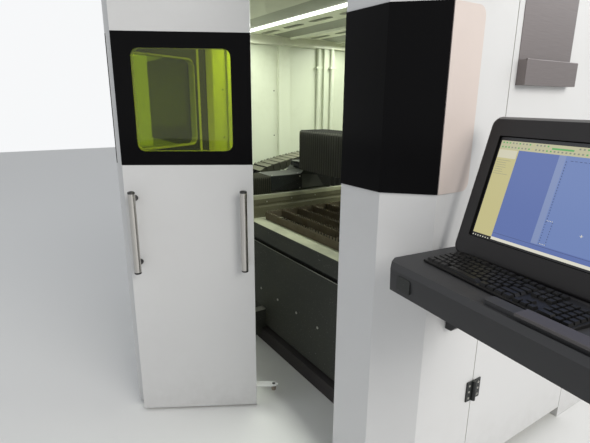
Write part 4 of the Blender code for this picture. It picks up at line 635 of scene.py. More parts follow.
def merged(solids: Iterable[Solid]) -> Solid:
    """Several solids in one mesh, each still its own shell.

    Args:
        solids: the solids, which are used up.

    Returns:
        The one mesh.
    """
    whole = bmesh.new()
    for solid in solids:
        mesh = bpy.data.meshes.new("part")
        solid.to_mesh(mesh)
        solid.free()
        whole.from_mesh(mesh)
        bpy.data.meshes.remove(mesh)
    return whole


def moved(solid: Solid, place: Matrix) -> Solid:
    """A solid carried to its place."""
    solid.transform(place)
    return solid


@contextmanager
def opened(mesh: bpy.types.Mesh) -> Iterator[Solid]:
    """A mesh as a solid that can be changed, written back when the block ends."""
    solid = bmesh.new()
    solid.from_mesh(mesh)
    yield solid
    solid.to_mesh(mesh)
    solid.free()


def stood(name: str, data: bpy.types.ID) -> Piece:
    """A new object of the scene that holds some data."""
    made = bpy.data.objects.new(name, data)
    bpy.context.scene.collection.objects.link(made)
    return made


def local_box(node: str, place: Matrix) -> tuple[Vector, Vector]:
    """A node's lowest and highest corners in some frame."""
    back = place.inverted()
    points = [back @ vert.co for vert in frame["nodes"][node].data.vertices]
    return tuple(Vector([pick(p[i] for p in points) for i in range(3)]) for pick in (min, max))


class Builder:
    """Turns solids into dressed pieces and reports each one."""

    @staticmethod
    def plain(name: str, solid: Solid) -> Piece:
        """An undressed object that holds a solid."""
        mesh = bpy.data.meshes.new(name)
        solid.to_mesh(mesh)
        solid.free()
        return stood(name, mesh)

    @staticmethod
    def applied(made: Piece) -> Piece:
        """The object with its modifiers turned into plain mesh."""
        bpy.context.view_layer.update()
        result = bpy.data.meshes.new_from_object(made.evaluated_get(bpy.context.evaluated_depsgraph_get()))
        made.modifiers.clear()
        old, made.data = made.data, result
        bpy.data.meshes.remove(old)
        return made

    @classmethod
    def bevelled(cls, made: Piece, radius: float, shortest: float = 0.012) -> Piece:
        """Rounds the long sharp edges of an object.

        Args:
            made: the object.
            radius: how far each edge is cut back.
            shortest: edges shorter than this stay sharp.

        Returns:
            The same object.
        """
        with opened(made.data) as solid:
            bmesh.ops.remove_doubles(solid, verts=solid.verts, dist=MERGE)
            bmesh.ops.dissolve_limit(solid, angle_limit=FLAT, verts=solid.verts, edges=solid.edges)
            weight = solid.edges.layers.float.new("bevel_weight_edge")
            for edge in solid.edges:
                sharp = edge.is_manifold and edge.calc_face_angle(0.0) > SHARP
                edge[weight] = 1.0 if sharp and edge.calc_length() > shortest else 0.0
        if radius > 0:
            bevel = made.modifiers.new("rounded edges", "BEVEL")
            bevel.limit_method = "WEIGHT"
            bevel.width = radius
            bevel.segments = 2
            bevel.use_clamp_overlap = True
            cls.applied(made)
        with opened(made.data) as solid:
            many = [face for face in solid.faces if len(face.verts) > 4]
            bmesh.ops.triangulate(solid, faces=many, ngon_method="EAR_CLIP")
            bmesh.ops.recalc_face_normals(solid, faces=solid.faces)
        for polygon in made.data.polygons:
            polygon.use_smooth = True
        made.data.set_sharp_from_angle(angle=CREASE)
        weighted = made.modifiers.new("weighted normals", "WEIGHTED_NORMAL")
        weighted.keep_sharp = True
        return cls.applied(made)

    @classmethod
    def dressed(
        cls, made: Piece, finish: Finish, body: str | None, stands_for: Sequence[str]
    ) -> Piece:
        """Gives a piece its finish, lets it ride on its body and reports it.

        Args:
            made: the piece.
            finish: its finish.
            body: the body that it moves with, or None where it is left on no body here.
            stands_for: nodes that it replaces.

        Returns:
            The same piece.
        """
        if not made.data.materials:
            made.data.materials.append(PAINTS.of(finish))
        if body is not None:
            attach(made, body)
        if stands_for:
            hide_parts(*stands_for)
        LOG.info("%s: %d faces, %s, on %s", made.name, len(made.data.polygons), finish.name, body or "two bodies")
        return made

    @classmethod
    def piece(
        cls, name: str, solid: Solid | Piece, finish: Finish, body: str | None,
        stands_for: Sequence[str] = (), radius: float = 0.0,
    ) -> Piece:
        """Dresses a solid that is in place.

        Args:
            name: the piece's name.
            solid: its shape.
            finish: its finish.
            body: the body that it moves with, or None where it is left on no body here.
            stands_for: nodes that it replaces.
            radius: how far its long sharp edges are rounded.

        Returns:
            The piece.
        """
        made = cls.plain(name, solid) if isinstance(solid, Solid) else solid
        made.name = name.replace(" ", "_")
        return cls.dressed(cls.bevelled(made, radius), finish, body, stands_for)

    @classmethod
    def refined(cls, node: str, finish: Finish, radius: float = 0.0015, shortest: float = 0.012) -> Piece:
        """A copy of a node with its edges rounded, which stands for the node.

        Args:
            node: the node's name.
            finish: its finish.
            radius: how far its edges are rounded.
            shortest: edges shorter than this stay sharp.

        Returns:
            The piece.
        """
        source = frame["nodes"][node]
        made = stood(f"{node}_finished", source.data.copy())
        made.data.materials.clear()
        return cls.dressed(cls.bevelled(made, radius, shortest), finish, source["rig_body"], (node,))

    @staticmethod
    def split(made: Piece, place: float, way: Point3 = (0.0, 0.0, 1.0)) -> None:
        """Cuts a piece's faces along one plane, so that each side can take a finish of its own."""
        with opened(made.data) as solid:
            parts = [*solid.verts, *solid.edges, *solid.faces]
            bmesh.ops.bisect_plane(solid, geom=parts, plane_co=Vector(way) * place, plane_no=way)

    @staticmethod
    def painted(made: Piece, finish: Finish, chosen: Callable[[Vector, Vector], bool]) -> None:
        """Gives some faces of a piece another finish.

        Args:
            made: the piece.
            finish: the other finish.
            chosen: tells from a face's middle and normal whether it changes.
        """
        made.data.materials.append(PAINTS.of(finish))
        number = len(made.data.materials) - 1
        for polygon in made.data.polygons:
            if chosen(polygon.center, polygon.normal):
                polygon.material_index = number


# Geometry nodes


class Pattern(Graph):
    """A geometry node tree with named inputs, and how to grow it into a plain mesh."""

    def __init__(self, name: str, inputs: Sequence[tuple]) -> None:
        """Makes the tree's sockets.

        Args:
            name: the tree's name.
            inputs: (name, kind, default) of each input after the geometry.
        """
        super().__init__(bpy.data.node_groups.new(name, "GeometryNodeTree"))
        add_sockets(self.tree, "INPUT", [("Geometry", "Geometry"), *inputs, ("Material", "Material")])
        add_sockets(self.tree, "OUTPUT", [("Geometry", "Geometry")])
        self.given = self.add("NodeGroupInput").outputs

    def aimed(self, axis: str) -> Socket:
        """The turn that brings an axis to each point's own direction."""
        facing = self.add("GeometryNodeInputNamedAttribute", {"Name": "facing"}, data_type="FLOAT_VECTOR")
        return self.out("FunctionNodeAlignRotationToVector", {"Vector": facing.outputs["Attribute"]}, axis=axis)

    def close(self, points: Socket, repeated: Socket, **more: Socket) -> None:
        """Ends the tree in plain geometry with its material.

        Args:
            points: where the instances go.
            repeated: what each instance is.
            more: the instances' Rotation or Scale, and Weld, the distance under which points merge.
        """
        weld = more.pop("Weld", None)
        made = self.out("GeometryNodeInstanceOnPoints", {"Points": points, "Instance": repeated, **more})
        made = self.out("GeometryNodeRealizeInstances", {"Geometry": made})
        if weld is not None:
            made = self.out("GeometryNodeMergeByDistance", {"Geometry": made, "Distance": weld})
        made = self.out("GeometryNodeSetMaterial", {"Geometry": made, "Material": self.given["Material"]})
        self.add("NodeGroupOutput", {"Geometry": made})

    def grow(self, seed: Piece, finish: Finish, **values: object) -> Piece:
        """Runs the tree on an object and keeps the result as its mesh.

        Args:
            seed: the object whose mesh the tree starts from.
            finish: the finish that the tree sets.
            values: the tree's other inputs.

        Returns:
            The same object, with a plain mesh and no modifier.
        """
        modifier = seed.modifiers.new(self.tree.name, "NODES")
        modifier.node_group = self.tree
        values["Material"] = PAINTS.of(finish)
        for socket in self.tree.interface.items_tree:
            if socket.item_type == "SOCKET" and socket.in_out == "INPUT" and socket.name in values:
                modifier[socket.identifier] = values[socket.name]
        return Builder.applied(seed)


def row_pattern() -> Pattern:
    """Repeats the seed mesh along one straight line."""
    inputs = [("Count", "Int", 1), ("Step", "Vector", (0.0, 0.0, 0.0)), ("Weld", "Float", 0.0)]
    pattern = Pattern("repeat in a row", inputs)
    given = pattern.given
    line = pattern.out("GeometryNodeMeshLine", {"Count": given["Count"], "Offset": given["Step"]})
    pattern.close(line, given["Geometry"], Weld=given["Weld"])
    return pattern


def screw_pattern() -> Pattern:
    """A socket-head screw on each point, turned to the point's own direction."""
    pattern = Pattern("screw heads", [("Radius", "Float", 0.006), ("Height", "Float", 0.003), ("Seed", "Int", 3)])
    given, add, out = pattern.given, pattern.add, pattern.out
    head = add("GeometryNodeMeshCylinder", {"Vertices": 20, "Radius": given["Radius"], "Depth": given["Height"]})
    half = pattern.vector(Z=pattern.times(given["Height"], 0.5))
    lifted = out("GeometryNodeTransform", {"Geometry": head.outputs["Mesh"], "Translation": half})
    inputs = {"Mesh": lifted, "Selection": head.outputs["Top"], "Offset Scale": 0.0}
    rim = add("GeometryNodeExtrudeMesh", inputs).outputs
    inset = out("GeometryNodeScaleElements", {"Geometry": rim["Mesh"], "Selection": rim["Top"], "Scale": 0.5})
    inputs = {"Mesh": inset, "Selection": rim["Top"], "Offset Scale": pattern.times(given["Height"], -0.6)}
    socket = out("GeometryNodeExtrudeMesh", inputs)
    inputs = {"Min": 0.0, "Max": math.pi, "Seed": given["Seed"]}
    spin = add("FunctionNodeRandomValue", inputs, data_type="FLOAT").outputs["Value"]
    turn = out("FunctionNodeAxisAngleToRotation", {"Axis": (0.0, 0.0, 1.0), "Angle": spin})
    inputs = {"Rotation": pattern.aimed("Z"), "Rotate By": turn}
    turned = out("FunctionNodeRotateRotation", inputs, rotation_space="LOCAL")
    pattern.close(given["Geometry"], socket, Rotation=turned)
    return pattern


def path_pattern() -> Pattern:
    """The seed mesh on points that hold a direction each, as links follow their chain."""
    pattern = Pattern("links on a path", [("Link", "Object")])
    link = pattern.add("GeometryNodeObjectInfo", {"Object": pattern.given["Link"]}, transform_space="ORIGINAL")
    inputs = {"Rotation": pattern.aimed("Y"), "Vector": (1.0, 0.0, 0.0)}
    fixed = pattern.out("FunctionNodeAlignRotationToVector", inputs, axis="X", pivot_axis="Y")
    pattern.close(pattern.given["Geometry"], link.outputs["Geometry"], Rotation=fixed)
    return pattern


def key_pattern() -> Pattern:
    """A dished, tapered cap on each point, as wide as the point's own width."""
    pattern = Pattern("key caps", [("Depth", "Float", 0.016), ("Height", "Float", 0.007), ("Unit", "Float", 0.019)])
    given, add, out = pattern.given, pattern.add, pattern.out
    size = pattern.vector(X=given["Unit"], Y=given["Depth"], Z=given["Height"])
    cap = out("GeometryNodeMeshCube", {"Size": size})
    top = pattern.math("GREATER_THAN", pattern.upward(out("GeometryNodeInputNormal")), 0.5)
    crown = out("GeometryNodeScaleElements", {"Geometry": cap, "Selection": top, "Scale": 0.78})
    rim = add("GeometryNodeExtrudeMesh", {"Mesh": crown, "Selection": top, "Offset Scale": 0.0}).outputs
    dish = out("GeometryNodeScaleElements", {"Geometry": rim["Mesh"], "Selection": rim["Top"], "Scale": 0.86})
    down = pattern.vector(Z=pattern.times(given["Height"], -0.07))
    sunk = out("GeometryNodeSetPosition", {"Geometry": dish, "Selection": rim["Top"], "Offset": down})
    width = out("GeometryNodeInputNamedAttribute", {"Name": "width"}, data_type="FLOAT")
    pattern.close(given["Geometry"], sunk, Scale=pattern.vector(X=width, Y=1.0, Z=1.0))
    return pattern


ROW = row_pattern()
SCREWS = screw_pattern()
LINKS = path_pattern()
KEYS = key_pattern()


def point_cloud(name: str, places: Sequence[Point3], key: str, values: Sequence[float]) -> Piece:
    """Loose points that each hold a value of their own.

    Args:
        name: the object's name.
        places: where they are.
        key: what the value says: facing, with three numbers for each point, or width, with one.
        values: the numbers of all the points.

    Returns:
        An object with those points and that attribute.
    """
    mesh = bpy.data.meshes.new(name)
    mesh.from_pydata([tuple(place) for place in places], [], [])
    kind, field = ("FLOAT_VECTOR", "vector") if key == "facing" else ("FLOAT", "value")
    mesh.attributes.new(key, kind, "POINT").data.foreach_set(field, values)
    return stood(name, mesh)


@dataclass(frozen=True)
class Screws:
    """A set of screw heads of one size on one body."""

    name: str
    body: str
    radius: float = 0.0055
    height: float = 0.0022
    finish: Finish = DARK_STEEL

    def at(self, places: Sequence[Point3], *ways: Point3) -> Piece:
        """Sets the screws.

        Args:
            places: where each head sits.
            ways: the way that all face, or one way for each.

        Returns:
            The piece.
        """
        facing = [value for way in (ways if len(ways) > 1 else ways * len(places)) for value in way]
        seed = point_cloud(self.name, places, "facing", facing)
        SCREWS.grow(seed, self.finish, Radius=self.radius, Height=self.height)
        return Builder.piece(self.name, seed, self.finish, self.body)


def joint(name: str) -> dict:
    """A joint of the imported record."""
    return next(item for item in frame["joints"] if item["name"] == name)


def rod(radius: float, low: float, high: float, sides: int) -> Solid:
    """A round bar about Z."""
    return lathe([(0.0, low), (radius, low), (radius, high), (0.0, high)], sides)


def repeated(
    name: str, solid: Solid, finish: Finish, count: int, step: Point3, weld: float = 0.0
) -> Piece:
    """A solid repeated along one straight line.

    Args:
        name: the object's name.
        solid: what repeats.
        finish: its finish.
        count: how many there are.
        step: from one to the next.
        weld: the distance under which points merge.

    Returns:
        The object, on no body yet.
    """
    return ROW.grow(Builder.plain(name, solid), finish, Count=count, Step=step, Weld=weld)


# Enclosure


@dataclass
class Cabin:
    """The white enclosure: pillars, bands, walls, roof, slotted ceiling and lamps."""

    edge: float = 0.0016
    lamp_width: float = 0.036
    lamp_drop: float = 0.026
    lamp_rows: int = 5
    lens: tuple[Point2, ...] = ((-1.0, 0.0), (-0.8, 0.6), (-0.4, 1.0), (0.4, 1.0), (0.8, 0.6), (1.0, 0.0))
    beam_depth: float = 0.055
    post_depth: float = 0.030
    wall_screws: tuple[float, float] = (1.244, 1.642)
    skin: float = 0.020
    lamp_shift: float = 0.148
    slot_shift: float = 0.115
    slope: tuple[Point2, ...] = ((-0.186, 0.0), (-0.026, 0.012), (-0.021, 0.012), (-0.021, 0.0))
    beam_low: float = 2.026
    post_first: float = -1.044
    post_width: float = 0.12
    post_pitch: float = 0.505
    post_slack: float = 0.004
    post_foot: float = 0.003
    post_head: float = 2.0295
    post_shift: float = -0.077
    left_screws: float = -0.652
    conduit_places: tuple[Point2, ...] = ((-1.338, -0.172), (-1.310, -0.032))
    conduit_radius: float = 0.018
    conduit_span: tuple[float, float] = (0.10, 2.03)
    saddle_heights: tuple[float, ...] = (0.45, 1.05, 1.85)

    def build(self) -> None:
        """Builds and dresses the whole enclosure."""
        for node in ("right_pillar", "left_pillar", "front_panel", "front_header"):
            Builder.refined(node, WHITE_PAINT, self.edge)
        bands = ("right_pillar_band", "left_pillar_band", "front_panel_band")
        for node, finish in (*((band, GLOSS_BLACK) for band in bands), ("side_inset", SATIN_GREY)):
            Builder.refined(node, finish, self.edge / 2, shortest=0.003)
        Builder.refined("door_track", ALUMINIUM, self.edge / 2)
        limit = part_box("right_wall")[1].x - self.skin
        for node in ("right_wall", "left_wall"):
            wall = Builder.refined(node, TEXTURED_WHITE, self.edge)
            Builder.painted(wall, INNER_WHITE, lambda at, way: abs(at.x) < limit)
            # The roof beams get the lighter copy of the inner paint: painted light.
            Builder.painted(wall, BEAM_PAINTED_LIGHT, lambda at, way: abs(at.x) < limit and at.z > self.beam_low)
            if node == "left_wall":
                self.shift_posts(wall, limit)
        rear = Builder.refined("rear_wall", TEXTURED_WHITE, self.edge)
        inner_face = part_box("rear_wall")[0].y + self.skin / 2
        Builder.painted(rear, INNER_WHITE, lambda at, way: way.y < -0.5 and at.y < inner_face)
        Builder.refined("roof", WHITE_PAINT, self.edge)
        self.ceiling(limit)
        Builder.refined("exhaust_collar", ALUMINIUM, 0.0)
        self.lamps()
        self.conduits()
        self.fasteners()

    def ceiling(self, limit: float) -> None:
        """The ceiling with its slots slid to where the photograph shows them, with painted light making the bays behind
        the lit lamp brighter than the bay in front.

        Args:
            limit: how far out the slots reach.
        """
        low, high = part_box("ceiling")
        made = Builder.refined("ceiling", CEILING_PALE, 0.0)
        for vert in made.data.vertices:
            if abs(vert.co.x) < limit - self.skin and low.y + self.skin < vert.co.y < high.y - self.skin:
                vert.co.y += self.slot_shift
        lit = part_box("lamp_strip_front")[0].y + self.lamp_shift
        Builder.split(made, lit, (0.0, 1.0, 0.0))
        # The bays behind the lit lamp get the lighter copy of the ceiling paint: painted light.
        Builder.painted(made, CEILING_LIT, lambda at, way: way.z < -0.5 and at.y > lit)

    def shift_posts(self, wall: Piece, limit: float) -> None:
        """Slides the posts in the wall's copy to where the photograph shows them.

        Args:
            wall: the wall's copy.
            limit: how far out the posts reach.
        """
        start, wide = self.post_first - self.post_slack, self.post_width + 2 * self.post_slack
        for vert in wall.data.vertices:
            inside = abs(vert.co.x) < limit and self.post_foot < vert.co.z < self.post_head and vert.co.y > start
            if inside and (vert.co.y - self.post_first + self.post_slack) % self.post_pitch < wide:
                vert.co.y += self.post_shift

    def lamps(self) -> None:
        """The lamp strips under the ceiling, one between each pair of slot rows, and a slanted plate before each in
        painted shade.
        """
        low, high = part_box("lamp_strip_front")
        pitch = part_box("lamp_strip_rear")[0].y - low.y
        middle, half = (low.y + high.y) / 2 + self.lamp_shift, self.lamp_width / 2
        lens = [(middle + half * side, high.z - self.lamp_drop * down) for side, down in self.lens]
        Builder.piece("lit lamp strip", prism(lens, Axis.X, low.x, high.x), LAMP, "root", ("lamp_strip_front",))
        # The unlit strips' pale lens paint is partly the lens's own colour and partly painted glow.
        unlit = prism([(y + pitch, z) for y, z in lens], Axis.X, low.x, high.x)
        step = (0.0, pitch, 0.0)
        seed = repeated("unlit lamps", unlit, LAMP_OFF_GLOW, self.lamp_rows - 1, step)
        Builder.piece("unlit lamp strips", seed, LAMP_OFF_GLOW, "root", ("lamp_strip_rear",))
        # The slanted plates get a darker copy of the inner paint: painted shade.
        plate = prism([(middle + y, high.z - drop) for y, drop in self.slope], Axis.X, low.x, high.x)
        seed = repeated("ceiling slopes", plate, INNER_SHADED_GREY, self.lamp_rows, step)
        Builder.piece("ceiling slopes", seed, INNER_SHADED_GREY, "root", radius=0.0012)

    def conduits(self) -> None:
        """Two upright cable pipes on the left wall, each held by saddles."""
        radius = self.conduit_radius
        for number, (x, y) in enumerate(self.conduit_places, 1):
            pipe = moved(rod(radius, *self.conduit_span, 24), Matrix.Translation((x, y, 0.0)))
            saddles = [
                block((x - radius, y - radius * 1.9, z), (x + radius * 1.12, y + radius * 1.9, z + radius))
                for z in self.saddle_heights
            ]
            Builder.piece(f"cable pipe {number}", pipe, INNER_WHITE, "root")
            Builder.piece(f"pipe saddles {number}", merged(saddles), INNER_WHITE, "root", radius=0.0015)

    def fasteners(self) -> None:
        """Screws inside the side walls."""
        places, ways = [], []
        left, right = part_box("left_wall"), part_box("right_wall")
        rows = (
            (left[1].x - self.beam_depth, self.left_screws - self.post_pitch * 2, left[1].y, 1.0),
            (right[0].x + self.beam_depth - self.post_depth, right[0].y + self.post_width / 2, right[1].y, -1.0),
        )
        for face, first, last, side in rows:
            for number in range(int((last - 0.1 - first) / self.post_pitch) + 1):
                for z in self.wall_screws:
                    places.append((face, first + self.post_pitch * number, z))
                    ways.append((side, 0.0, 0.0))
        Screws("wall screws", "root", 0.006, 0.002).at(places, *ways)


@dataclass
class ServiceDoor:
    """The side door with its hinges, latch and document pocket."""

    edge: float = 0.0014
    sheet: float = 0.03
    hole_pitch: float = 0.027
    fixed_hole: Point2 = (0.0061, 0.012)
    moving_hole: float = 0.019
    plate_proud: float = 0.0047
    pocket_roll: float = 0.0028
    lip_height: float = 0.080

    def build(self) -> None:
        """Builds and dresses the side door."""
        door = Builder.refined("side_door", TEXTURED_WHITE, self.edge)
        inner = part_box("side_door")[0].x + self.sheet
        Builder.painted(door, INNER_WHITE, lambda at, way: at.x < inner)
        self.hinges(door)
        Builder.refined("side_latch", MACHINE_BLACK, self.edge)
        self.pocket()

    def hinges(self, door: Piece) -> None:
        """Black hinges: the fixed plates and barrels, and the door's own plates.

        Args:
            door: the door's copy, which carries its plates.
        """
        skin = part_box("side_door")[1].x
        Builder.painted(door, MACHINE_BLACK, lambda at, way: at.x > skin - self.plate_proud)
        places, moving = [], []
        for node in ("lower_hinge", "upper_hinge"):
            Builder.refined(node, MACHINE_BLACK, self.edge / 2, shortest=0.008)
            low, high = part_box(node)
            for step in (-1, 0, 1):
                z = (low.z + high.z) / 2 + step * self.hole_pitch
                places.append((low.x + self.fixed_hole[0], low.y + self.fixed_hole[1], z))
                moving.append((skin, high.y + self.moving_hole, z))
        for name, body, spots in (("fixed", "root", places), ("door", "side_door", moving)):
            Screws(f"{name} hinge screws", body, 0.0045, 0.0016, BRIGHT_STEEL).at(spots, (1.0, 0.0, 0.0))

    def pocket(self) -> None:
        """The brushed pocket with a rolled rim on its lip."""
        Builder.refined("document_pocket", POCKET_STEEL, 0.0)
        low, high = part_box("document_pocket")
        ring = ring_points(self.pocket_roll, 12, (high.x - self.pocket_roll, low.z + self.lip_height))
        Builder.piece("pocket rim", prism(ring, Axis.Y, low.y, high.y), POCKET_STEEL, "side_door")


@dataclass
class BifoldDoor:
    """The folding front door: two leaves, bands, windows, handles, guide arm and roller."""

    edge: float = 0.0025
    gasket: float = 0.0045
    gasket_proud: float = 0.0012
    frame_inset: float = 0.020
    window_slide: Point2 = (-0.018, 0.007)
    window_slack: float = 0.003
    frame_sill: float = 0.004
    frame_thickness: float = 0.0015
    pane_corner: float = 0.045
    cap_height: float = 0.012
    cap_overlap: float = 0.0002
    dome_steps: int = 5
    post_inset: float = 0.042

    def leaves(self) -> list[Matrix]:
        """The frames of the inner and outer leaf at rest: x runs along a leaf from its pivot, -y is its outer side."""
        hinge, fold = (Vector((*joint(name)["pos_m"][:2], 0.0)) for name in ("inner_leaf_hinge", "outer_leaf_fold"))
        along = (fold - hinge).normalized()
        frames = []
        for at, way in ((hinge, along), (fold, Vector((along.x, -along.y, 0.0)))):
            turn = Matrix((way, (-way.y, way.x, 0.0), (0.0, 0.0, 1.0))).transposed().to_4x4()
            frames.append(Matrix.Translation(at) @ turn)
        return frames

    def build(self) -> None:
        """Builds and dresses the whole door."""
        inner, outer = self.leaves()
        for prefix, leaf, slide in (("inner", inner, (0.0, 0.0)), ("outer", outer, self.window_slide)):
            made = [
                Builder.refined(f"{prefix}_{part}", finish, radius)
                for part, finish, radius in (
                    ("leaf", WHITE_PAINT, self.edge), ("band", GLOSS_BLACK, 0.0), ("window", LASER_WINDOW, 0.0)
                )
            ]
            self.slide_window(made, prefix, leaf, slide)
            self.window_frame(prefix, leaf, slide)
        for node in ("left_handle", "right_handle"):
            self.handle(node, outer)
        Builder.refined("guide_arm", WHITE_PAINT, 0.0006, shortest=0.004)
        Builder.refined("track_hanger", STAINLESS, 0.0005, shortest=0.004)
        Builder.refined("guide_roller", ROLLER_BROWN, 0.0008, shortest=0.002)
        at = Vector(joint("guide_roller_spin")["pos_m"])
        places = [(at.x, at.y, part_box("guide_arm")[1].z)]
        Screws("guide arm pin", "outer_leaf", 0.009, 0.0015).at(places, (0.0, 0.0, 1.0))

    def slide_window(self, made: Sequence[Piece], prefix: str, leaf: Matrix, slide: Point2) -> None:
        """Slides a window with its hole to where the photograph shows it.

        Args:
            made: the copies of the leaf, its band and its pane.
            prefix: inner or outer.
            leaf: the frame of the leaf that carries them.
            slide: how far they go along the leaf and up.
        """
        low, high = local_box(f"{prefix}_window", leaf)
        back, slack = leaf.inverted(), self.window_slack
        move = leaf.to_3x3() @ Vector((slide[0], 0.0, slide[1]))
        for item in made:
            for vert in item.data.vertices:
                at = back @ vert.co
                if low.x - slack < at.x < high.x + slack and low.z - slack < at.z < high.z + slack:
                    vert.co += move
            item.data.update()

    def window_frame(self, prefix: str, leaf: Matrix, slide: Point2) -> None:
        """The black frame plate and the rubber seal round the window, on the leaf's inner side.

        Args:
            prefix: inner or outer.
            leaf: the frame of the leaf that carries it.
            slide: how far the window has been slid along the leaf and up.
        """
        band_low, band_high = local_box(f"{prefix}_band", leaf)
        low, high = local_box(f"{prefix}_window", leaf)
        back = leaf.inverted()
        rim = [back @ vert.co for vert in frame["nodes"][f"{prefix}_leaf"].data.vertices]
        start = SEAT + max(p.y for p in rim if low.x < p.x < high.x and low.z < p.z < high.z)
        inset, sill, wide = self.frame_inset, self.frame_sill, self.gasket
        hole_low = (low.x + sill + slide[0], low.z + sill + slide[1])
        hole_high = (high.x - sill + slide[0], high.z - sill + slide[1])
        hole = rounded(hole_low, hole_high, self.pane_corner)
        outer = rounded((band_low.x + inset, band_low.z), (band_high.x - inset, band_high.z), 0.006)
        lip = rounded(
            (hole_low[0] - wide, hole_low[1] - wide), (hole_high[0] + wide, hole_high[1] + wide),
            self.pane_corner + wide,
        )
        for kind, outline, thickness, finish in (
            ("frame", outer, self.frame_thickness, WINDOW_FRAME), ("seal", lip, self.gasket_proud, RUBBER)
        ):
            plate = moved(ring_plate(outline, hole, start, start + thickness), leaf)
            Builder.piece(f"{prefix} window {kind}", plate, finish, f"{prefix}_leaf", radius=0.0004)
            start += thickness

    def handle(self, node: str, leaf: Matrix) -> None:
        """A brushed bar with dark domed ends on two dark posts.

        Args:
            node: the handle's node.
            leaf: the frame of the leaf that carries it.
        """
        low, high = local_box(node, leaf)
        radius, middle, rise = (high.x - low.x) / 2, (high.z + low.z) / 2, self.cap_height / 2
        y = low.y + radius
        place = leaf @ Matrix.Translation(((high.x + low.x) / 2, y, 0.0))
        bar = moved(rod(radius, low.z + self.cap_height, high.z - self.cap_height, 28), place)
        Builder.piece(f"{node} bar", bar, STAINLESS, "outer_leaf", (node,), radius=0.0005)
        foot = high.z - self.cap_height - self.cap_overlap
        turns = [math.pi / 2 * step / self.dome_steps for step in range(self.dome_steps)]
        dome = [(radius * math.cos(turn), high.z - rise + rise * math.sin(turn)) for turn in turns]
        profile = [(0.0, foot), (radius, foot), *dome, (0.0, high.z)]
        ends = [lathe([(r, middle + (z - middle) * flip) for r, z in profile], 28) for flip in (1.0, -1.0)]
        Builder.piece(f"{node} caps", moved(merged(ends), place), DARK_STEEL, "outer_leaf")
        reach = high.y - y
        profile = [
            (0.0, 0.0), (0.009, 0.0), (0.009, radius + 0.004), (0.0105, radius + 0.008),
            (0.0105, reach - 0.006), (0.013, reach - 0.005), (0.013, reach), (0.0, reach),
        ]
        laid = Matrix.Rotation(-math.pi / 2, 4, "X")
        heights = (low.z + self.post_inset, high.z - self.post_inset)
        posts = [moved(lathe(profile, 20), Matrix.Translation((0.0, 0.0, z)) @ laid) for z in heights]
        Builder.piece(f"{node} posts", moved(merged(posts), place), DARK_STEEL, "outer_leaf")


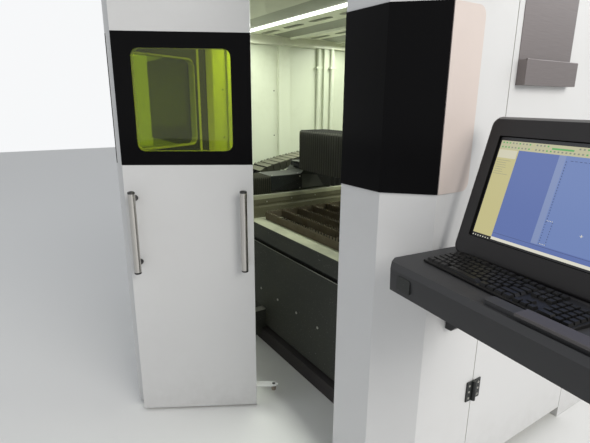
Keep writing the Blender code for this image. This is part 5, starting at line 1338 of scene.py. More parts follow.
@dataclass
class Bed:
    """The bed, its plinth, front cover, guide rails, chain tray and source cabinet."""

    edge: float = 0.003
    foot: float = 0.101
    groove: tuple[float, float] = (0.855, 0.890)
    groove_depth: float = 0.0025
    wall_room: float = 0.05
    wall_faces: tuple[float, float] = (0.08, 0.09)
    end_wall: float = 0.1
    tip_band: float = 0.006
    pit_depth: float = 0.20
    slot_head: float = 0.05
    cover_left: float = -0.272
    cover_notch: float = -0.066
    notch_top: float = 0.232
    service: tuple[Point3, Point3] = ((-0.139, -1.560, 0.045), (-0.080, -1.460, 0.215))
    kick: tuple[Point3, Point3] = ((-0.240, -1.503, 0.0), (1.120, -1.440, 0.086))
    lip_height: float = 0.026
    lip_proud: float = 0.0015
    lip_gaps: tuple[float, float] = (0.052, 0.058)
    sheet: float = 0.006
    flange: float = 0.018
    screw_height: float = 0.354
    screw_first: float = -0.118
    screw_pitch: float = 0.2125
    screw_count: int = 6
    wall_bolts: tuple[Point2, ...] = (
        (-1.342, 0.894), (-1.144, 0.899), (-0.943, 0.899), (-0.35, 0.899), (0.25, 0.899), (0.85, 0.899), (1.40, 0.899),
    )
    tooth: float = 0.026
    tooth_height: float = 0.026
    tooth_foot: float = 0.34
    tooth_tip: float = 0.14
    tooth_lean: float = 0.06
    slat_gap: float = 0.125
    slat_thickness: float = 0.0026
    slat_slack: float = 0.001
    holder_thickness: float = 0.006
    wear_seed: int = 5
    wear_spread: float = 0.35
    wear_least: float = 0.30
    wear_reach: float = 0.90
    bolt_pitch: float = 0.16

    def build(self) -> None:
        """Builds and dresses the bed and what stands on it."""
        self.frame_walls()
        self.front_cover()
        for name, corners, finish, nodes in (
            ("service block", self.service, SERVICE_GREY, ("front_service_block",)),
            ("kick plate", self.kick, PLINTH_BLACK, ()),
        ):
            Builder.piece(name, block(*corners), finish, "root", nodes, radius=0.0015)
        for node, finish, radius in (
            ("left_rail", RAIL_STEEL, 0.0008), ("right_rail", RAIL_STEEL, 0.0008),
            ("chain_tray", ALUMINIUM, 0.0008), ("laser_source_cabinet", WHITE_PAINT, 0.003),
        ):
            Builder.refined(node, finish, radius)
        self.slats()
        self.fasteners()

    def frame_walls(self) -> None:
        """The bed frame with a nearly flush groove in its walls, its dusty faces, its sooty pit with painted shade, its
        slot in painted shade, its black plinth, and its lips.
        """
        bed = Builder.refined("bed_frame", BED_PAINT, self.edge)
        (low, high), (table_low, table_high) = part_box("bed_frame"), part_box("slat_table")
        deck, room = table_low.z - self.edge * 2, self.wall_room
        faces = (table_low.x - self.lip_gaps[0], table_high.x + self.lip_gaps[1])
        near, far = faces[0] - self.groove_depth, faces[1] + self.groove_depth
        for vert in bed.data.vertices:
            if self.groove[0] < vert.co.z < self.groove[1] and low.x + room < vert.co.x < high.x - room:
                vert.co.x = min(max(vert.co.x, near), far)
        bed.data.update()
        wall_low, wall_high = table_low.x - self.wall_faces[0], table_high.x + self.wall_faces[1]
        start, end, edge = low.y + self.end_wall, high.y - self.end_wall, self.edge
        for finish, chosen in (
            (BED_WALL, lambda at, way: deck < at.z < high.z - edge and wall_low < at.x < wall_high
             and abs(way.x) > 0.4),
            # The pit under the slats gets darker paint: soot and painted shade.
            (BED_INSIDE_SHADE, lambda at, way: table_low.x < at.x < table_high.x and start < at.y < end
             and self.pit_depth < at.z < deck),
            # The slot above the front cover gets near-black painted shade.
            (PAINTED_SHADE_BLACK, lambda at, way: low.y + edge < at.y < start and self.foot < at.z < deck - self.slot_head
             and min(way.y, way.z) < -0.5),
            (PLINTH_BLACK, lambda at, way: at.z < self.foot),
        ):
            Builder.painted(bed, finish, chosen)
        lips = []
        for x, way in zip(faces, (-1.0, 1.0)):
            ends = sorted((x, x - way * self.lip_proud))
            lips.append(block(
                (ends[0], low.y + edge, high.z - self.lip_height), (ends[1], high.y - edge, high.z - edge / 2)
            ))
        Builder.piece("rail wall lips", merged(lips), BED_LIP, "root", radius=0.0005)

    def front_cover(self) -> None:
        """The lower front cover, notched round the service block, with a painted highlight on its upper edge and
        painted shade behind its sheet.
        """
        low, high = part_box("bed_front_panel")
        left, face = self.cover_left, low.y + self.sheet
        outline = [
            (self.cover_notch, low.z), (high.x, low.z), (high.x, high.z), (left, high.z),
            (left, self.notch_top), (self.cover_notch, self.notch_top),
        ]
        step = high.z - self.flange
        shelf = block((left, face - MERGE, step), (high.x, high.y, step + self.sheet))
        solid = merged([prism(outline, Axis.Y, low.y, face), shelf])
        made = Builder.piece("front cover", solid, BED_PAINT, "root", ("bed_front_panel",), radius=0.0011)
        # The faces behind the cover's sheet get near-black painted shade.
        Builder.painted(made, PAINTED_SHADE_BLACK, lambda at, way: at.y > face)
        top = high.z - self.sheet
        # The upper edge gets a pale painted highlight.
        Builder.painted(made, PANEL_EDGE_HIGHLIGHT, lambda at, way: at.z > top and at.y < face and way.z > 0.3)

    def slats(self) -> None:
        """The toothed slats and the toothed holders that they drop into."""
        low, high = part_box("slat_table")
        base, valley = low.z, high.z - self.tooth_height
        burnt = random.Random(self.wear_seed)

        def comb(start: float, end: float, left: Callable[[float], float]) -> list[Point2]:
            """The outline of a toothed strip.

            Args:
                start: where its teeth start.
                end: where they end.
                left: what the arc has left of the tooth at a place, from 0 to 1.

            Returns:
                The outline, in order.
            """
            count = round((end - start) / self.tooth)
            step = (end - start) / count
            points = [(start, base), (end, base), (end, valley)]
            for number in range(count):
                peak = end - step * (number + 0.5)
                rest = left(peak) * burnt.uniform(1.0 - self.wear_spread, 1.0)
                crown = valley + (high.z - valley) * rest
                lean = burnt.uniform(-self.tooth_lean, self.tooth_lean)
                for share, height in (
                    (self.tooth_foot, valley), (self.tooth_tip + lean, crown),
                    (lean - self.tooth_tip, crown), (-self.tooth_foot, valley),
                ):
                    points.append((peak + step * share, height))
            points.append((start, valley))
            return points

        def toward_left(place: float) -> float:
            """Teeth are burnt lower toward the left, where most parts are cut free."""
            return self.wear_least + (1.0 - self.wear_least) * min(1.0, (place - low.x) / self.wear_reach)

        outline = comb(low.x + self.slat_slack, high.x - self.slat_slack, toward_left)
        slat = prism(outline, Axis.Y, low.y, low.y + self.slat_thickness)
        count = round((high.y - low.y) / self.slat_gap) + 1
        step = (high.y - low.y - self.slat_thickness) / (count - 1)
        seed = repeated("slats", slat, SLAT_STEEL, count, (0.0, step, 0.0))
        made = Builder.piece("toothed slats", seed, SLAT_STEEL, "root", ("slat_table",))
        Builder.split(made, valley - self.tip_band)
        Builder.painted(made, HOLDER_STEEL, lambda at, way: at.z > valley - self.tip_band)
        thick = self.holder_thickness
        sides = [
            prism(comb(low.y, high.y, lambda at: left), Axis.X, x, x + thick)
            for x, left in ((low.x, self.wear_least), (high.x - thick, 1.0))
        ]
        Builder.piece("toothed holders", merged(sides), HOLDER_STEEL, "root")

    def fasteners(self) -> None:
        """Cover screws, rail wall bolts and rail bolts."""
        face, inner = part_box("bed_front_panel")[0].y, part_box("slat_table")[0].x - self.lip_gaps[0]
        places = [(inner, y, z) for y, z in self.wall_bolts]
        Screws("rail wall bolts", "root", 0.0045, 0.002, BRIGHT_STEEL).at(places, (1.0, 0.0, 0.0))
        places = [(self.screw_first + self.screw_pitch * n, face, self.screw_height) for n in range(self.screw_count)]
        Screws("front cover screws", "root", 0.0075, 0.0028, BRIGHT_STEEL).at(places, (0.0, -1.0, 0.0))
        bolts = []
        for node in ("left_rail", "right_rail"):
            low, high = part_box(node)
            y = low.y + self.bolt_pitch / 2
            while y < high.y:
                bolts.append(((low.x + high.x) / 2, y, high.z))
                y += self.bolt_pitch
        Screws("rail bolts", "root", 0.0055, 0.0006).at(bolts, (0.0, 0.0, 1.0))


@dataclass
class Pleats:
    """Folded covers: tall ones over the beam and low ones over the rails."""

    beam_fold: float = 0.024
    beam_depth: float = 0.013
    beam_bottom: float = 1.100
    rail_fold: float = 0.0155
    rail_depth: float = 0.010
    rear_stretch: float = 3.0
    wall: float = 0.0016
    bend: float = 0.012
    # The share of each fold that takes the darker valley paint, which is painted shade.
    valley: tuple[float, float] = (0.28, 0.72)
    shape: tuple[Point2, ...] = (
        (0.0, 0.0), (0.08, 0.0), (0.28, 0.6), (0.46, 1.0), (0.54, 1.0), (0.72, 0.6), (0.92, 0.0), (1.0, 0.0),
    )

    def arch(self, outline: Sequence[Point2], depth: float, fold: float, axis: Axis) -> Solid:
        """One fold: an arch that dips by depth in its middle and has a thin wall.

        Args:
            outline: the arch's outer corners, from one foot over the top to the other.
            depth: how far the valley lies inside the ridge.
            fold: the fold's length along the travel axis.
            axis: X or Y, the travel axis.

        Returns:
            An open strip of the fold, thickened.
        """
        middle = (outline[0][0] + outline[-1][0]) / 2

        def loop(inset: float, along: float) -> list[Point3]:
            """The arch's corners, drawn in by inset, at one place along the fold."""
            points = []
            for number, (a, b) in enumerate(outline):
                side = -1.0 if a > middle else 1.0
                across, up = a + side * inset, b - (inset if 0 < number < len(outline) - 1 else 0.0)
                points.append((along, across, up) if axis == Axis.X else (across, along, up))
            return points

        solid = bmesh.new()
        outer, inner = (
            [[solid.verts.new(p) for p in loop(depth * dip + wall, fold * along)] for along, dip in self.shape]
            for wall in (0.0, self.wall)
        )
        for rows, turned in ((outer, False), (inner, True)):
            for first, second in zip(rows, rows[1:]):
                for i in range(len(first) - 1):
                    corners = (first[i], first[i + 1], second[i + 1], second[i])
                    solid.faces.new(corners[::-1] if turned else corners)
        for first, second, a, b in zip(outer, outer[1:], inner, inner[1:]):
            for end in (0, -1):
                solid.faces.new((first[end], second[end], b[end], a[end]))
        bmesh.ops.recalc_face_normals(solid, faces=solid.faces)
        return solid

    def run(
        self, node: str, finish: Finish, axis: Axis, fold: float, depth: float, bottom: float | None = None
    ) -> Piece:
        """Fills a cover's own box with folds.

        Args:
            node: the cover's node.
            finish: its finish.
            axis: its travel axis.
            fold: the wanted length of one fold.
            depth: how deep its folds are.
            bottom: the height of its feet, where it isn't the node's own.

        Returns:
            The piece, on no body yet.
        """
        low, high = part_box(node)
        index = list(Axis).index(axis)
        start, end, near, far = low[index], high[index], low[1 - index], high[1 - index]
        foot, top, bend = low.z if bottom is None else bottom, high.z, self.bend
        count = max(2, round((end - start) / fold))
        length = (end - start) / count
        outline = [
            (near, foot), (near, top - bend), (near + bend, top), (far - bend, top), (far, top - bend), (far, foot),
        ]
        way = Vector((1.0 - index, index, 0.0))
        solid = moved(self.arch(outline, depth, length, axis), Matrix.Translation(way * start))
        seed = repeated(f"{node} folds", solid, finish, count, tuple(way * length), 0.0002)
        with opened(seed.data) as strip:
            rims = [edge for edge in strip.edges if len(edge.link_faces) == 1]
            bmesh.ops.holes_fill(strip, edges=rims, sides=0)
            bmesh.ops.recalc_face_normals(strip, faces=strip.faces)
        made = Builder.piece(f"{node} folds", seed, finish, None, (node,))
        # The valleys take a darker paint that is painted shade in the folds; the beam covers' upward faces take the
        # same paint.
        first, last = self.valley
        Builder.painted(
            made, finish if finish is SHADED_FABRIC else COVER_VALLEY_SHADE,
            lambda at, way: first < ((at[index] - start) / length) % 1.0 < last or (axis == Axis.X and way.z > 0.5),
        )
        return made

    def build(self) -> None:
        """Builds and dresses all the covers."""
        for side in ("left", "right"):
            node = f"{side}_beam_cover"
            made = self.run(node, COVER_FABRIC, Axis.X, self.beam_fold, self.beam_depth, self.beam_bottom)
            low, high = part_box(node)
            middle = (low.y + high.y) / 2
            # The covers' inner faces get near-black painted shade.
            Builder.painted(made, SHADED_FABRIC, lambda at, way: (at.y - middle) * way.y < 0.0)
            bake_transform(made)
            node = f"{side}_front_guard"
            made = self.run(node, PLEAT_FABRIC, Axis.Y, self.rail_fold, self.rail_depth)
            low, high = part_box(node)
            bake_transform(made)
            node = f"{side}_rear_guard"
            # The rear guards, under the beam, are made in near-black painted shade.
            made = self.run(node, SHADED_FABRIC, Axis.Y, self.rail_fold * self.rear_stretch, self.rail_depth)
            low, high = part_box(node)
            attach(made, "root")
            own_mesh(made)


@dataclass
class Gantry:
    """The trucks, the beam, the carriage and the cutting head."""

    edge: float = 0.003
    box_top: float = 1.060
    box_end: float = -1.055
    truck_width: float = 0.20
    riser_proud: float = 0.002
    riser: tuple[Point2, ...] = ((-1.045, 0.956), (-0.855, 0.956), (-0.915, 1.040), (-1.045, 1.056))
    lid_screws: tuple[Point2, ...] = ((-0.190, -1.066), (-0.025, -1.066), (-0.190, -1.275), (-0.025, -1.275))
    side_screws: Point3 = (0.008, 0.006, 0.018)

    def build(self) -> None:
        """Builds and dresses the gantry."""
        for node in ("left_truck", "right_truck"):
            truck = Builder.refined(node, MACHINE_BLACK, self.edge)
            # The trucks' sides behind their front boxes get near-black painted shade, for the shade under the beam.
            Builder.painted(truck, PAINTED_SHADE_BLACK, lambda at, way: at.y > self.box_end and at.z < self.box_top - 0.01)
        for node, finish, radius in (
            ("gantry_beam", MACHINE_BLACK, self.edge), ("head_carriage", MACHINE_BLACK, self.edge),
            ("cutting_head", ALUMINIUM, 0.0015), ("nozzle", COPPER, 0.0),
        ):
            Builder.refined(node, finish, radius)
        self.risers()
        self.fasteners()

    def risers(self) -> None:
        """The grey slanted plates on the trucks' inner sides, behind their front boxes."""
        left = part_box("left_truck")[1].x + SEAT
        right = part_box("right_truck")[1].x - self.truck_width - SEAT
        spans = (left, left + self.riser_proud), (right - self.riser_proud, right)
        plates = merged([prism(self.riser, Axis.X, *span) for span in spans])
        Builder.piece("truck riser plates", plates, RISER_GREY, "gantry", radius=0.0006)

    def fasteners(self) -> None:
        """Screws on the trucks' sides and lids."""
        places, ways = [], []
        behind, foot, head = self.side_screws
        for node in ("left_truck", "right_truck"):
            low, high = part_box(node)
            places += [(high.x + x, y, self.box_top) for x, y in self.lid_screws]
            places += [(high.x, self.box_end - behind, z) for z in (low.z + foot, self.box_top - head)]
            ways += [(0.0, 0.0, 1.0)] * len(self.lid_screws) + [(1.0, 0.0, 0.0)] * 2
        Screws("truck screws", "gantry", 0.005, 0.002, BRIGHT_STEEL).at(places, *ways)


@dataclass
class Chain:
    """The energy chain: cranked links and the cables in them, along the chain's own path."""

    start: float = -1.225
    run: float = 1.45
    link: float = 0.056
    overlap: float = 0.55
    bend: float = 0.155
    camber: float = 0.074
    camber_lean: float = 0.70
    anchor: float = 0.40
    centre_x: float = -0.678
    width: float = 0.222
    height: float = 0.064
    plate: float = 0.005
    corner: float = 0.22
    lid: float = 0.004
    lid_share: float = 0.78
    cable: float = 0.011
    cable_places: tuple[float, ...] = (-0.078, -0.026, 0.026, 0.078)
    thickness: float = 0.036
    truck_top: float = 1.049
    steps_round: int = 9

    def path(self) -> tuple[list[Point2], list[Point2]]:
        """The links' joints in Y and Z: from the gantry round the bend, and from the bend to the anchor."""
        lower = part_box("energy_chain")[0].z + self.thickness / 2
        lift, upper = (self.height - self.thickness) / 2, lower + 2 * self.bend
        drop = upper - (self.truck_top - self.thickness)
        count = round(self.run / self.link)
        points = []
        for number in range(count + 1):
            share = number / count
            ease = share * share * (3.0 - 2.0 * share)
            arch = self.camber * math.sin(math.pi * share ** self.camber_lean)
            points.append((self.start + self.run * share, upper - drop * (1.0 - ease) + arch + lift))
        middle = self.start + self.run
        for number in range(1, self.steps_round + 1):
            turn = math.pi / 2 - math.pi * number / self.steps_round
            points.append((middle + self.bend * math.cos(turn), lower + self.bend * (1 + math.sin(turn)) + lift))
        count = round(self.anchor / self.link)
        return points, [(middle - self.anchor * number / count, lower + lift) for number in range(count + 1)]

    def link_mesh(self) -> Solid:
        """One link: two cranked side plates with cut corners, and a lid above and below."""
        half, high, cut = self.link * self.overlap, self.height / 2, self.height * self.corner
        solids = []
        for side in (-1.0, 1.0):
            outer = side * self.width / 2
            inner = outer - side * self.plate
            ends = ((-half, half * 0.30, outer, inner), (half * -0.05, half, inner, inner - side * self.plate))
            for start, end, *faces in ends:
                below = [(start, -high + cut), (start + cut, -high), (end - cut, -high), (end, -high + cut)]
                outline = below + [(y, -z) for y, z in below[::-1]]
                solids.append(prism(outline, Axis.X, min(faces), max(faces)))
        reach, long = self.width / 2 - self.plate * 1.5, half * self.lid_share
        for z in (high - self.lid * 1.6, -high + self.lid * 0.6):
            solids.append(block((-reach, -long, z), (reach, long, z + self.lid)))
        return merged(solids)

    def cable_mesh(self) -> Solid:
        """The cables' stretch inside one link."""
        half = self.link * self.overlap
        rings = [ring_points(self.cable, 8, (x, 0.0)) for x in self.cable_places]
        return merged([prism(ring, Axis.Y, -half, half) for ring in rings])

    def along(self, name: str, points: Sequence[Point2], single: Solid, finish: Finish) -> Piece:
        """Sets one mesh at every link of a path.

        Args:
            name: the piece's name.
            points: the links' joints.
            single: the mesh of one link.
            finish: its finish.

        Returns:
            The piece, on no body yet.
        """
        joints = [Vector((self.centre_x, y, z)) for y, z in points]
        pairs = list(zip(joints, joints[1:]))
        facing = [value for a, b in pairs for value in (b - a).normalized()]
        seed = point_cloud(name, [(a + b) / 2 for a, b in pairs], "facing", facing)
        link = Builder.plain(f"{name} one", single)
        LINKS.grow(seed, finish, Link=link)
        bpy.data.objects.remove(link)
        return Builder.piece(name, seed, finish, None, ("energy_chain",))

    def build(self) -> None:
        """Builds the chain."""
        upper, lower = self.path()
        for kind, single, finish in (
            ("links", self.link_mesh, CHAIN_PLASTIC), ("cables", self.cable_mesh, HOSE_BLACK)
        ):
            made = self.along(f"chain {kind} moving", upper, single(), finish)
            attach(made, "root")
            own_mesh(made)
            made = self.along(f"chain {kind} anchored", lower, single(), finish)
            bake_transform(made)


@dataclass
class Console:
    """The operator console: bracket, arm, tray, keyboard, monitor and its lit screen."""

    edge: float = 0.005
    turn: float = math.radians(-6)
    keyboard_turn: float = math.radians(-4)
    housing_trim: float = 0.009
    housing_corner: float = 0.030
    housing_edge: float = 0.009
    roll_steps: int = 4
    screen_rim: float = 0.002
    screen_corner: float = 0.004
    rim_depth: float = 0.02
    screen_seed: int = 11
    glass: float = 0.003
    tile_lift: float = 0.00002
    palm_span: tuple[float, float] = (0.422, 0.630)
    palm_depth: tuple[float, float] = (-0.386, -0.342)
    palm_thickness: float = 0.008
    badge_span: tuple[Point2, Point2] = ((0.062, 0.030), (0.116, 0.072))
    base_heights: tuple[float, float] = (0.008, 0.014)
    key_margin: float = 0.006
    key_gaps: tuple[float, float] = (0.0022, 0.0024)
    key_height: float = 0.007
    row_gap: float = 0.3
    key_layout: tuple[tuple[float, ...], ...] = (
        (1, -1, 1, 1, 1, 1, -0.5, 1, 1, 1, 1, -0.5, 1, 1, 1, 1, -0.25, 1, 1, 1),
        (1,) * 13 + (2, -0.25, 1, 1, 1, -0.25, 1, 1, 1, 1),
        (1.5,) + (1,) * 12 + (1.5, -0.25, 1, 1, 1, -0.25, 1, 1, 1, 1),
        (1.75,) + (1,) * 11 + (2.25, -3.5, 1, 1, 1, 1),
        (2.25,) + (1,) * 10 + (2.75, -1.25, 1, -1.25, 1, 1, 1, 1),
        (1.25, 1.25, 1.25, 6.25, 1.25, 1.25, 1.25, 1.25, -0.25, 1, 1, 1, -0.25, 2, 1, 1),
    )

    @property
    def place(self) -> Matrix:
        """The console's own frame, with x along the tray and y to its back."""
        at = Vector(joint("console_swivel")["pos_m"])
        return Matrix.Translation((at.x, at.y, 0.0)) @ Matrix.Rotation(self.turn, 4, "Z")

    def build(self) -> None:
        """Builds and dresses the console."""
        for node, radius in (("console_bracket", 0.003), ("console_arm", 0.003), ("console_tray", self.edge)):
            Builder.refined(node, CHARCOAL, radius)
        self.housing()
        self.keyboard()
        self.screen()
        self.plates()

    def screen_frame(self) -> tuple[Matrix, float, float]:
        """The screen's own frame, with x along it and z up its face, and its width and height."""
        low, high = local_box("monitor_screen", self.place)
        lean = math.atan2(high.y - low.y, high.z - low.z)
        turned = Matrix.Translation((low.x, low.y, low.z)) @ Matrix.Rotation(-lean, 4, "X")
        return self.place @ turned, high.x - low.x, (high.z - low.z) / math.cos(lean)

    def housing(self) -> None:
        """The monitor's housing: a leaning slab with round corners, a soft front edge and a sunk screen."""
        face, width, height = self.screen_frame()
        low, high = local_box("monitor_housing", face)
        low.x += self.housing_trim
        front, back, soft, rim, deep = low.y, high.y, self.housing_edge, self.screen_rim, self.rim_depth

        def outer(inset: float, y: float) -> list[Point3]:
            """The slab's outline at one depth."""
            corner = self.housing_corner - inset
            loop = rounded((low.x + inset, low.z + inset), (high.x - inset, high.z - inset), corner)
            return [(x, y, z) for x, z in loop]

        def opening(y: float) -> list[Point3]:
            """The screen's outline at one depth."""
            return [(x, y, z) for x, z in rounded((-rim, -rim), (width + rim, height + rim), self.screen_corner)]

        turns = [math.pi / 2 * number / self.roll_steps for number in range(self.roll_steps + 1)]
        rolled = [outer(soft * (1 - math.cos(turn)), front + soft * (1 - math.sin(turn))) for turn in turns]
        loops = [outer(soft, back), outer(0.0, back - soft), *rolled, opening(front), opening(SEAT * 4)]
        solid = moved(lofted(loops), face)
        made = Builder.piece("monitor case", solid, MONITOR_BLACK, "console", ("monitor_housing",))
        unturned = face.inverted()

        def sunk(at: Vector, way: Vector) -> bool:
            """Tells whether a face lies in the screen's opening."""
            x, y, z = unturned @ at
            return -deep < x < width + deep and SEAT < y - front < deep and -deep < z < height + deep

        Builder.painted(made, SCREEN_RIM, sunk)
        Builder.painted(made, MONITOR_DUSTY, lambda at, way: way.z > 0.45 and (unturned @ at).z > height + deep)

    def plates(self) -> None:
        """The grey palm rest in front of the keyboard, and a bare oval plate at the left of the tray's front."""
        low, high = local_box("console_tray", self.place)
        (x_start, x_end), (y_start, y_end) = self.palm_span, self.palm_depth
        plate = block((x_start, y_start, high.z), (x_end, y_end, high.z + self.palm_thickness))
        Builder.piece("palm rest", moved(plate, self.place), PALM_GREY, "console", radius=0.0025)
        corners = [(low.x + x, low.z + z) for x, z in self.badge_span]
        plate = prism(rounded(*corners, 0.006), Axis.Y, low.y - 0.0010, low.y + 0.004)
        Builder.piece("tray plate", moved(plate, self.place), MACHINE_BLACK, "console", radius=0.0006)

    def keyboard(self) -> None:
        """The keyboard's base and its caps, row by row."""
        place = self.place @ Matrix.Rotation(self.keyboard_turn, 4, "Z")
        low, high = local_box("keyboard", place)
        width, depth, margin = high.x - low.x, high.y - low.y, self.key_margin
        front, rear = self.base_heights
        outline = [(low.y, low.z), (high.y, low.z), (high.y, low.z + rear), (low.y, low.z + front)]
        base = moved(prism(outline, Axis.X, low.x, high.x), place)
        Builder.piece("keyboard base", base, KEY_BLACK, "console", ("keyboard",), radius=0.0025)
        unit = (width - 2 * margin) / max(sum(abs(key) for key in row) for row in self.key_layout)
        row_depth = (depth - 2 * margin) / (len(self.key_layout) + self.row_gap)
        places, widths = [], []
        for number, row in enumerate(self.key_layout):
            y = high.y - margin - row_depth * (number + 0.5 + (self.row_gap if number else 0.0))
            z = low.z + front + (rear - front) * (y - low.y) / depth
            x = low.x + margin
            for key in row:
                if key > 0:
                    places.append((x + key * unit / 2, y, z + 0.003))
                    widths.append((key * unit - self.key_gaps[0]) / unit)
                x += abs(key) * unit
        seed = point_cloud("key caps", places, "width", widths)
        KEYS.grow(seed, KEY_BLACK, Unit=unit, Depth=row_depth - self.key_gaps[1], Height=self.key_height)
        seed.data.transform(place)
        Builder.piece("key caps", seed, KEY_BLACK, "console")

    def tiles(self) -> list[tuple[ScreenTone, Point2, Point2]]:
        """The layout of a plain drawing program.

        Returns:
            The tone and two corners of each tile, in shares of the screen.
        """
        tone = ScreenTone
        made = [
            (tone.FIELD, (0.135, 0.045), (1.0, 0.885)), (tone.BAND, (0.366, 0.095), (1.0, 0.885)),
            (tone.MIST, (0.366, 0.095), (0.402, 0.885)), (tone.TOOLBAR, (0.010, 0.885), (1.0, 0.968)),
            (tone.PANEL, (0.010, 0.040), (0.135, 0.885)), (tone.PAPER, (0.012, 0.800), (0.128, 0.880)),
            (tone.BRIGHT, (0.135, 0.018), (1.0, 0.045)), (tone.GREEN, (0.315, 0.924), (0.430, 0.940)),
            (tone.LINE, (0.135, 0.084), (1.0, 0.087)),
        ]

        def mark(kind: ScreenTone, x: float, y: float, wide: float, tall: float) -> None:
            """Adds one small mark by its corner and size."""
            made.append((kind, (x, y), (x + wide, y + tall)))

        draw = random.Random(self.screen_seed)
        for number in range(26):
            x = 0.022 + number * 0.0205
            kind = draw.choice((tone.SHADED, tone.SHADED, tone.PANEL, tone.GREEN))
            for y in (0.942, 0.900):
                if not (0.30 < x < 0.435 and y > 0.92):
                    mark(kind, x, y, 0.009, 0.014)
        for number in range(7):
            mark(tone.SHADED, 0.020, 0.775 - number * 0.022, draw.uniform(0.05, 0.11), 0.003)
        for number in range(22):
            mark(tone.LINE, 0.410, 0.30 + number * 0.025, 0.003, 0.014)
            mark(tone.LINE, 0.430 + number * 0.022, 0.842, 0.014, 0.004)
        for number in range(9):
            for x in (0.410, 0.444):
                mark(tone.LINE, x, 0.105 + number * 0.024, 0.0032, 0.011)
            for y in (0.105, 0.312) if number < 4 else ():
                mark(tone.BRIGHT, 0.414 + number * 0.009, y, 0.004, 0.006)
        for number in range(7):
            mark(tone.BRIGHT, 0.016 + number * 0.017, 0.012, 0.006, 0.010)
        mark(tone.BRIGHT, 0.590, 0.256, 0.016, 0.004)
        mark(tone.BRIGHT, 0.5964, 0.246, 0.0032, 0.024)
        return made

    def screen(self) -> None:
        """The lit screen: a dark pane with the drawing program laid on it as flat tiles."""
        origin, width, height = self.screen_frame()
        made = Builder.plain("monitor_screen_lit", block((0.0, -SEAT, 0.0), (width, self.glass, height)))
        tones = list(ScreenTone)
        for tone in tones:
            made.data.materials.append(PAINTS.of(screen_finish(tone)))
        tiles = self.tiles()
        with opened(made.data) as solid:
            for face in solid.faces:
                face.material_index = tones.index(ScreenTone.DARK)
            for layer, (tone, (x0, y0), (x1, y1)) in enumerate(tiles, 1):
                lift = -SEAT - self.tile_lift * layer
                corners = [(x0, y0), (x1, y0), (x1, y1), (x0, y1)]
                face = solid.faces.new([solid.verts.new((a * width, lift, b * height)) for a, b in corners])
                face.material_index = tones.index(tone)
            solid.transform(origin)
        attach(made, "console")
        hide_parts("monitor_screen")
        LOG.info("screen: %d tiles, %.2f m high", len(tiles), height)


# Studio


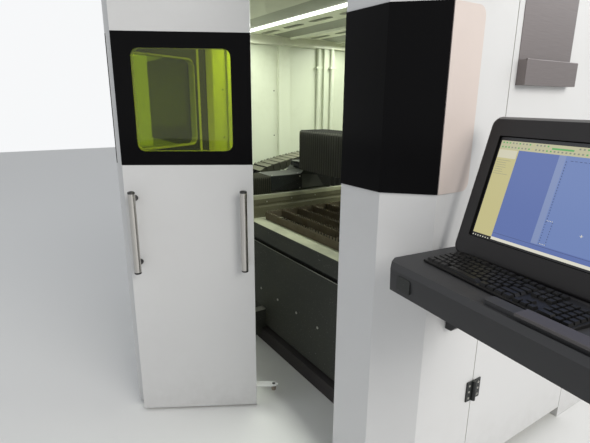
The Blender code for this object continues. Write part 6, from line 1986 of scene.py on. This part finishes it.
@dataclass
class Studio:
    """The pale floor, the soft lamps, the world and the camera."""

    eye: Point3 = (2.3099, -2.7919, 1.55)
    heading: Point2 = (-0.8392, 0.5438)
    pitch: float = math.radians(15.02)
    roll: float = math.radians(0.383)
    lens: float = 27.31
    floor_half: float = 14.0
    floor_colour: Colour = (0.74, 0.74, 0.73)
    backdrop: Colour = (0.93, 0.94, 0.95)
    room_light: float = 0.50
    inner_height: float = 2.06
    inner_power: float = 24.0
    inner_fade: float = 3.0

    def floor(self) -> None:
        """A plain pale floor under the machine."""
        half = self.floor_half
        made = Builder.plain("studio_floor", block((-half, -half, -0.02), (half, half, -0.0005)))
        material = bpy.data.materials.new("studio floor")
        material.use_nodes = True
        surface = {"Base Color": (*self.floor_colour, 1.0), "Roughness": 0.6}
        Graph(material.node_tree).fill(material.node_tree.nodes["Principled BSDF"], surface)
        made.data.materials.append(material)

    def world(self) -> None:
        """A pale backdrop for camera, glossy and transmitted rays, and softer room light for the rest."""
        world = bpy.data.worlds.new("studio")
        bpy.context.scene.world = world
        world.use_nodes = True
        world.node_tree.nodes.clear()
        graph = Graph(world.node_tree)
        path = graph.add("ShaderNodeLightPath").outputs
        seen = graph.math("MAXIMUM", path["Is Camera Ray"], path["Is Glossy Ray"])
        seen = graph.math("MAXIMUM", seen, path["Is Transmission Ray"])
        backdrop = graph.out("ShaderNodeBackground", {"Color": (*self.backdrop, 1.0), "Strength": 1.0})
        room = graph.out("ShaderNodeBackground", {"Color": (0.93, 0.96, 1.0, 1.0), "Strength": self.room_light})
        mix = graph.out("ShaderNodeMixShader", {0: seen, 1: room, 2: backdrop})
        graph.add("ShaderNodeOutputWorld", {"Surface": mix})

    def lamp(self, name: str, place: Point3, target: Point3, size: Point2, power: float, colour: Colour) -> None:
        """One soft rectangular lamp.

        Args:
            name: the lamp's name.
            place: where it stands.
            target: what it points at.
            size: its width and height.
            power: its power in watts.
            colour: its colour.
        """
        light = bpy.data.lights.new(name, "AREA")
        light.shape = "RECTANGLE"
        light.size, light.size_y = size
        light.energy, light.color = power, colour
        away = (Vector(place) - Vector(target)).normalized()
        turn = away.to_track_quat("Z", "Y").to_matrix().to_4x4()
        stood(name, light).matrix_world = Matrix.Translation(place) @ turn

    def camera(self) -> None:
        """The camera at the photograph's place."""
        ahead = Vector((*self.heading, 0.0)) * math.cos(self.pitch)
        ahead.z = -math.sin(self.pitch)
        right = Vector((ahead.y, -ahead.x, 0.0)).normalized()
        up = right.cross(ahead)
        tilted = right * math.cos(self.roll) + up * math.sin(self.roll)
        above = up * math.cos(self.roll) - right * math.sin(self.roll)
        data = bpy.data.cameras.new("photo view")
        data.lens, data.sensor_width, data.clip_start = self.lens, 36.0, 0.05
        made = stood("photo view", data)
        made.matrix_world = Matrix.Translation(self.eye) @ Matrix((tilted, above, -ahead)).transposed().to_4x4()
        bpy.context.scene.camera = made

    def build(self) -> None:
        """Sets up everything round the machine."""
        self.floor()
        self.world()
        cool, warm, inside = (0.93, 0.97, 1.0), (1.0, 0.97, 0.92), (0.95, 1.0, 0.90)
        self.lamp("key", (6.2, -1.2, 4.0), (1.0, -1.2, 1.2), (4.0, 3.0), 260.0, warm)
        self.lamp("fill", (-1.5, -6.5, 4.6), (0.4, -2.0, 0.9), (4.5, 3.0), 48.0, cool)
        self.lamp("back", (3.0, 7.0, 5.0), (0.0, 0.0, 1.0), (5.0, 3.0), 140.0, cool)
        for y in (-1.0, 0.0, 1.0):
            power = self.inner_power - self.inner_fade * y
            self.lamp(f"inner lamp {y}", (0.0, y, self.inner_height), (0.0, y, 0.0), (2.4, 0.25), power, inside)
        bpy.context.scene.view_settings.view_transform = "Standard"
        self.camera()


def main() -> None:
    """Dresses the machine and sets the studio."""
    logging.basicConfig(level=logging.INFO, format="%(message)s")
    Studio().build()
    for part in (Cabin(), ServiceDoor(), BifoldDoor(), Bed(), Pleats(), Gantry(), Chain(), Console()):
        part.build()


if __name__ == "__main__":
    main()
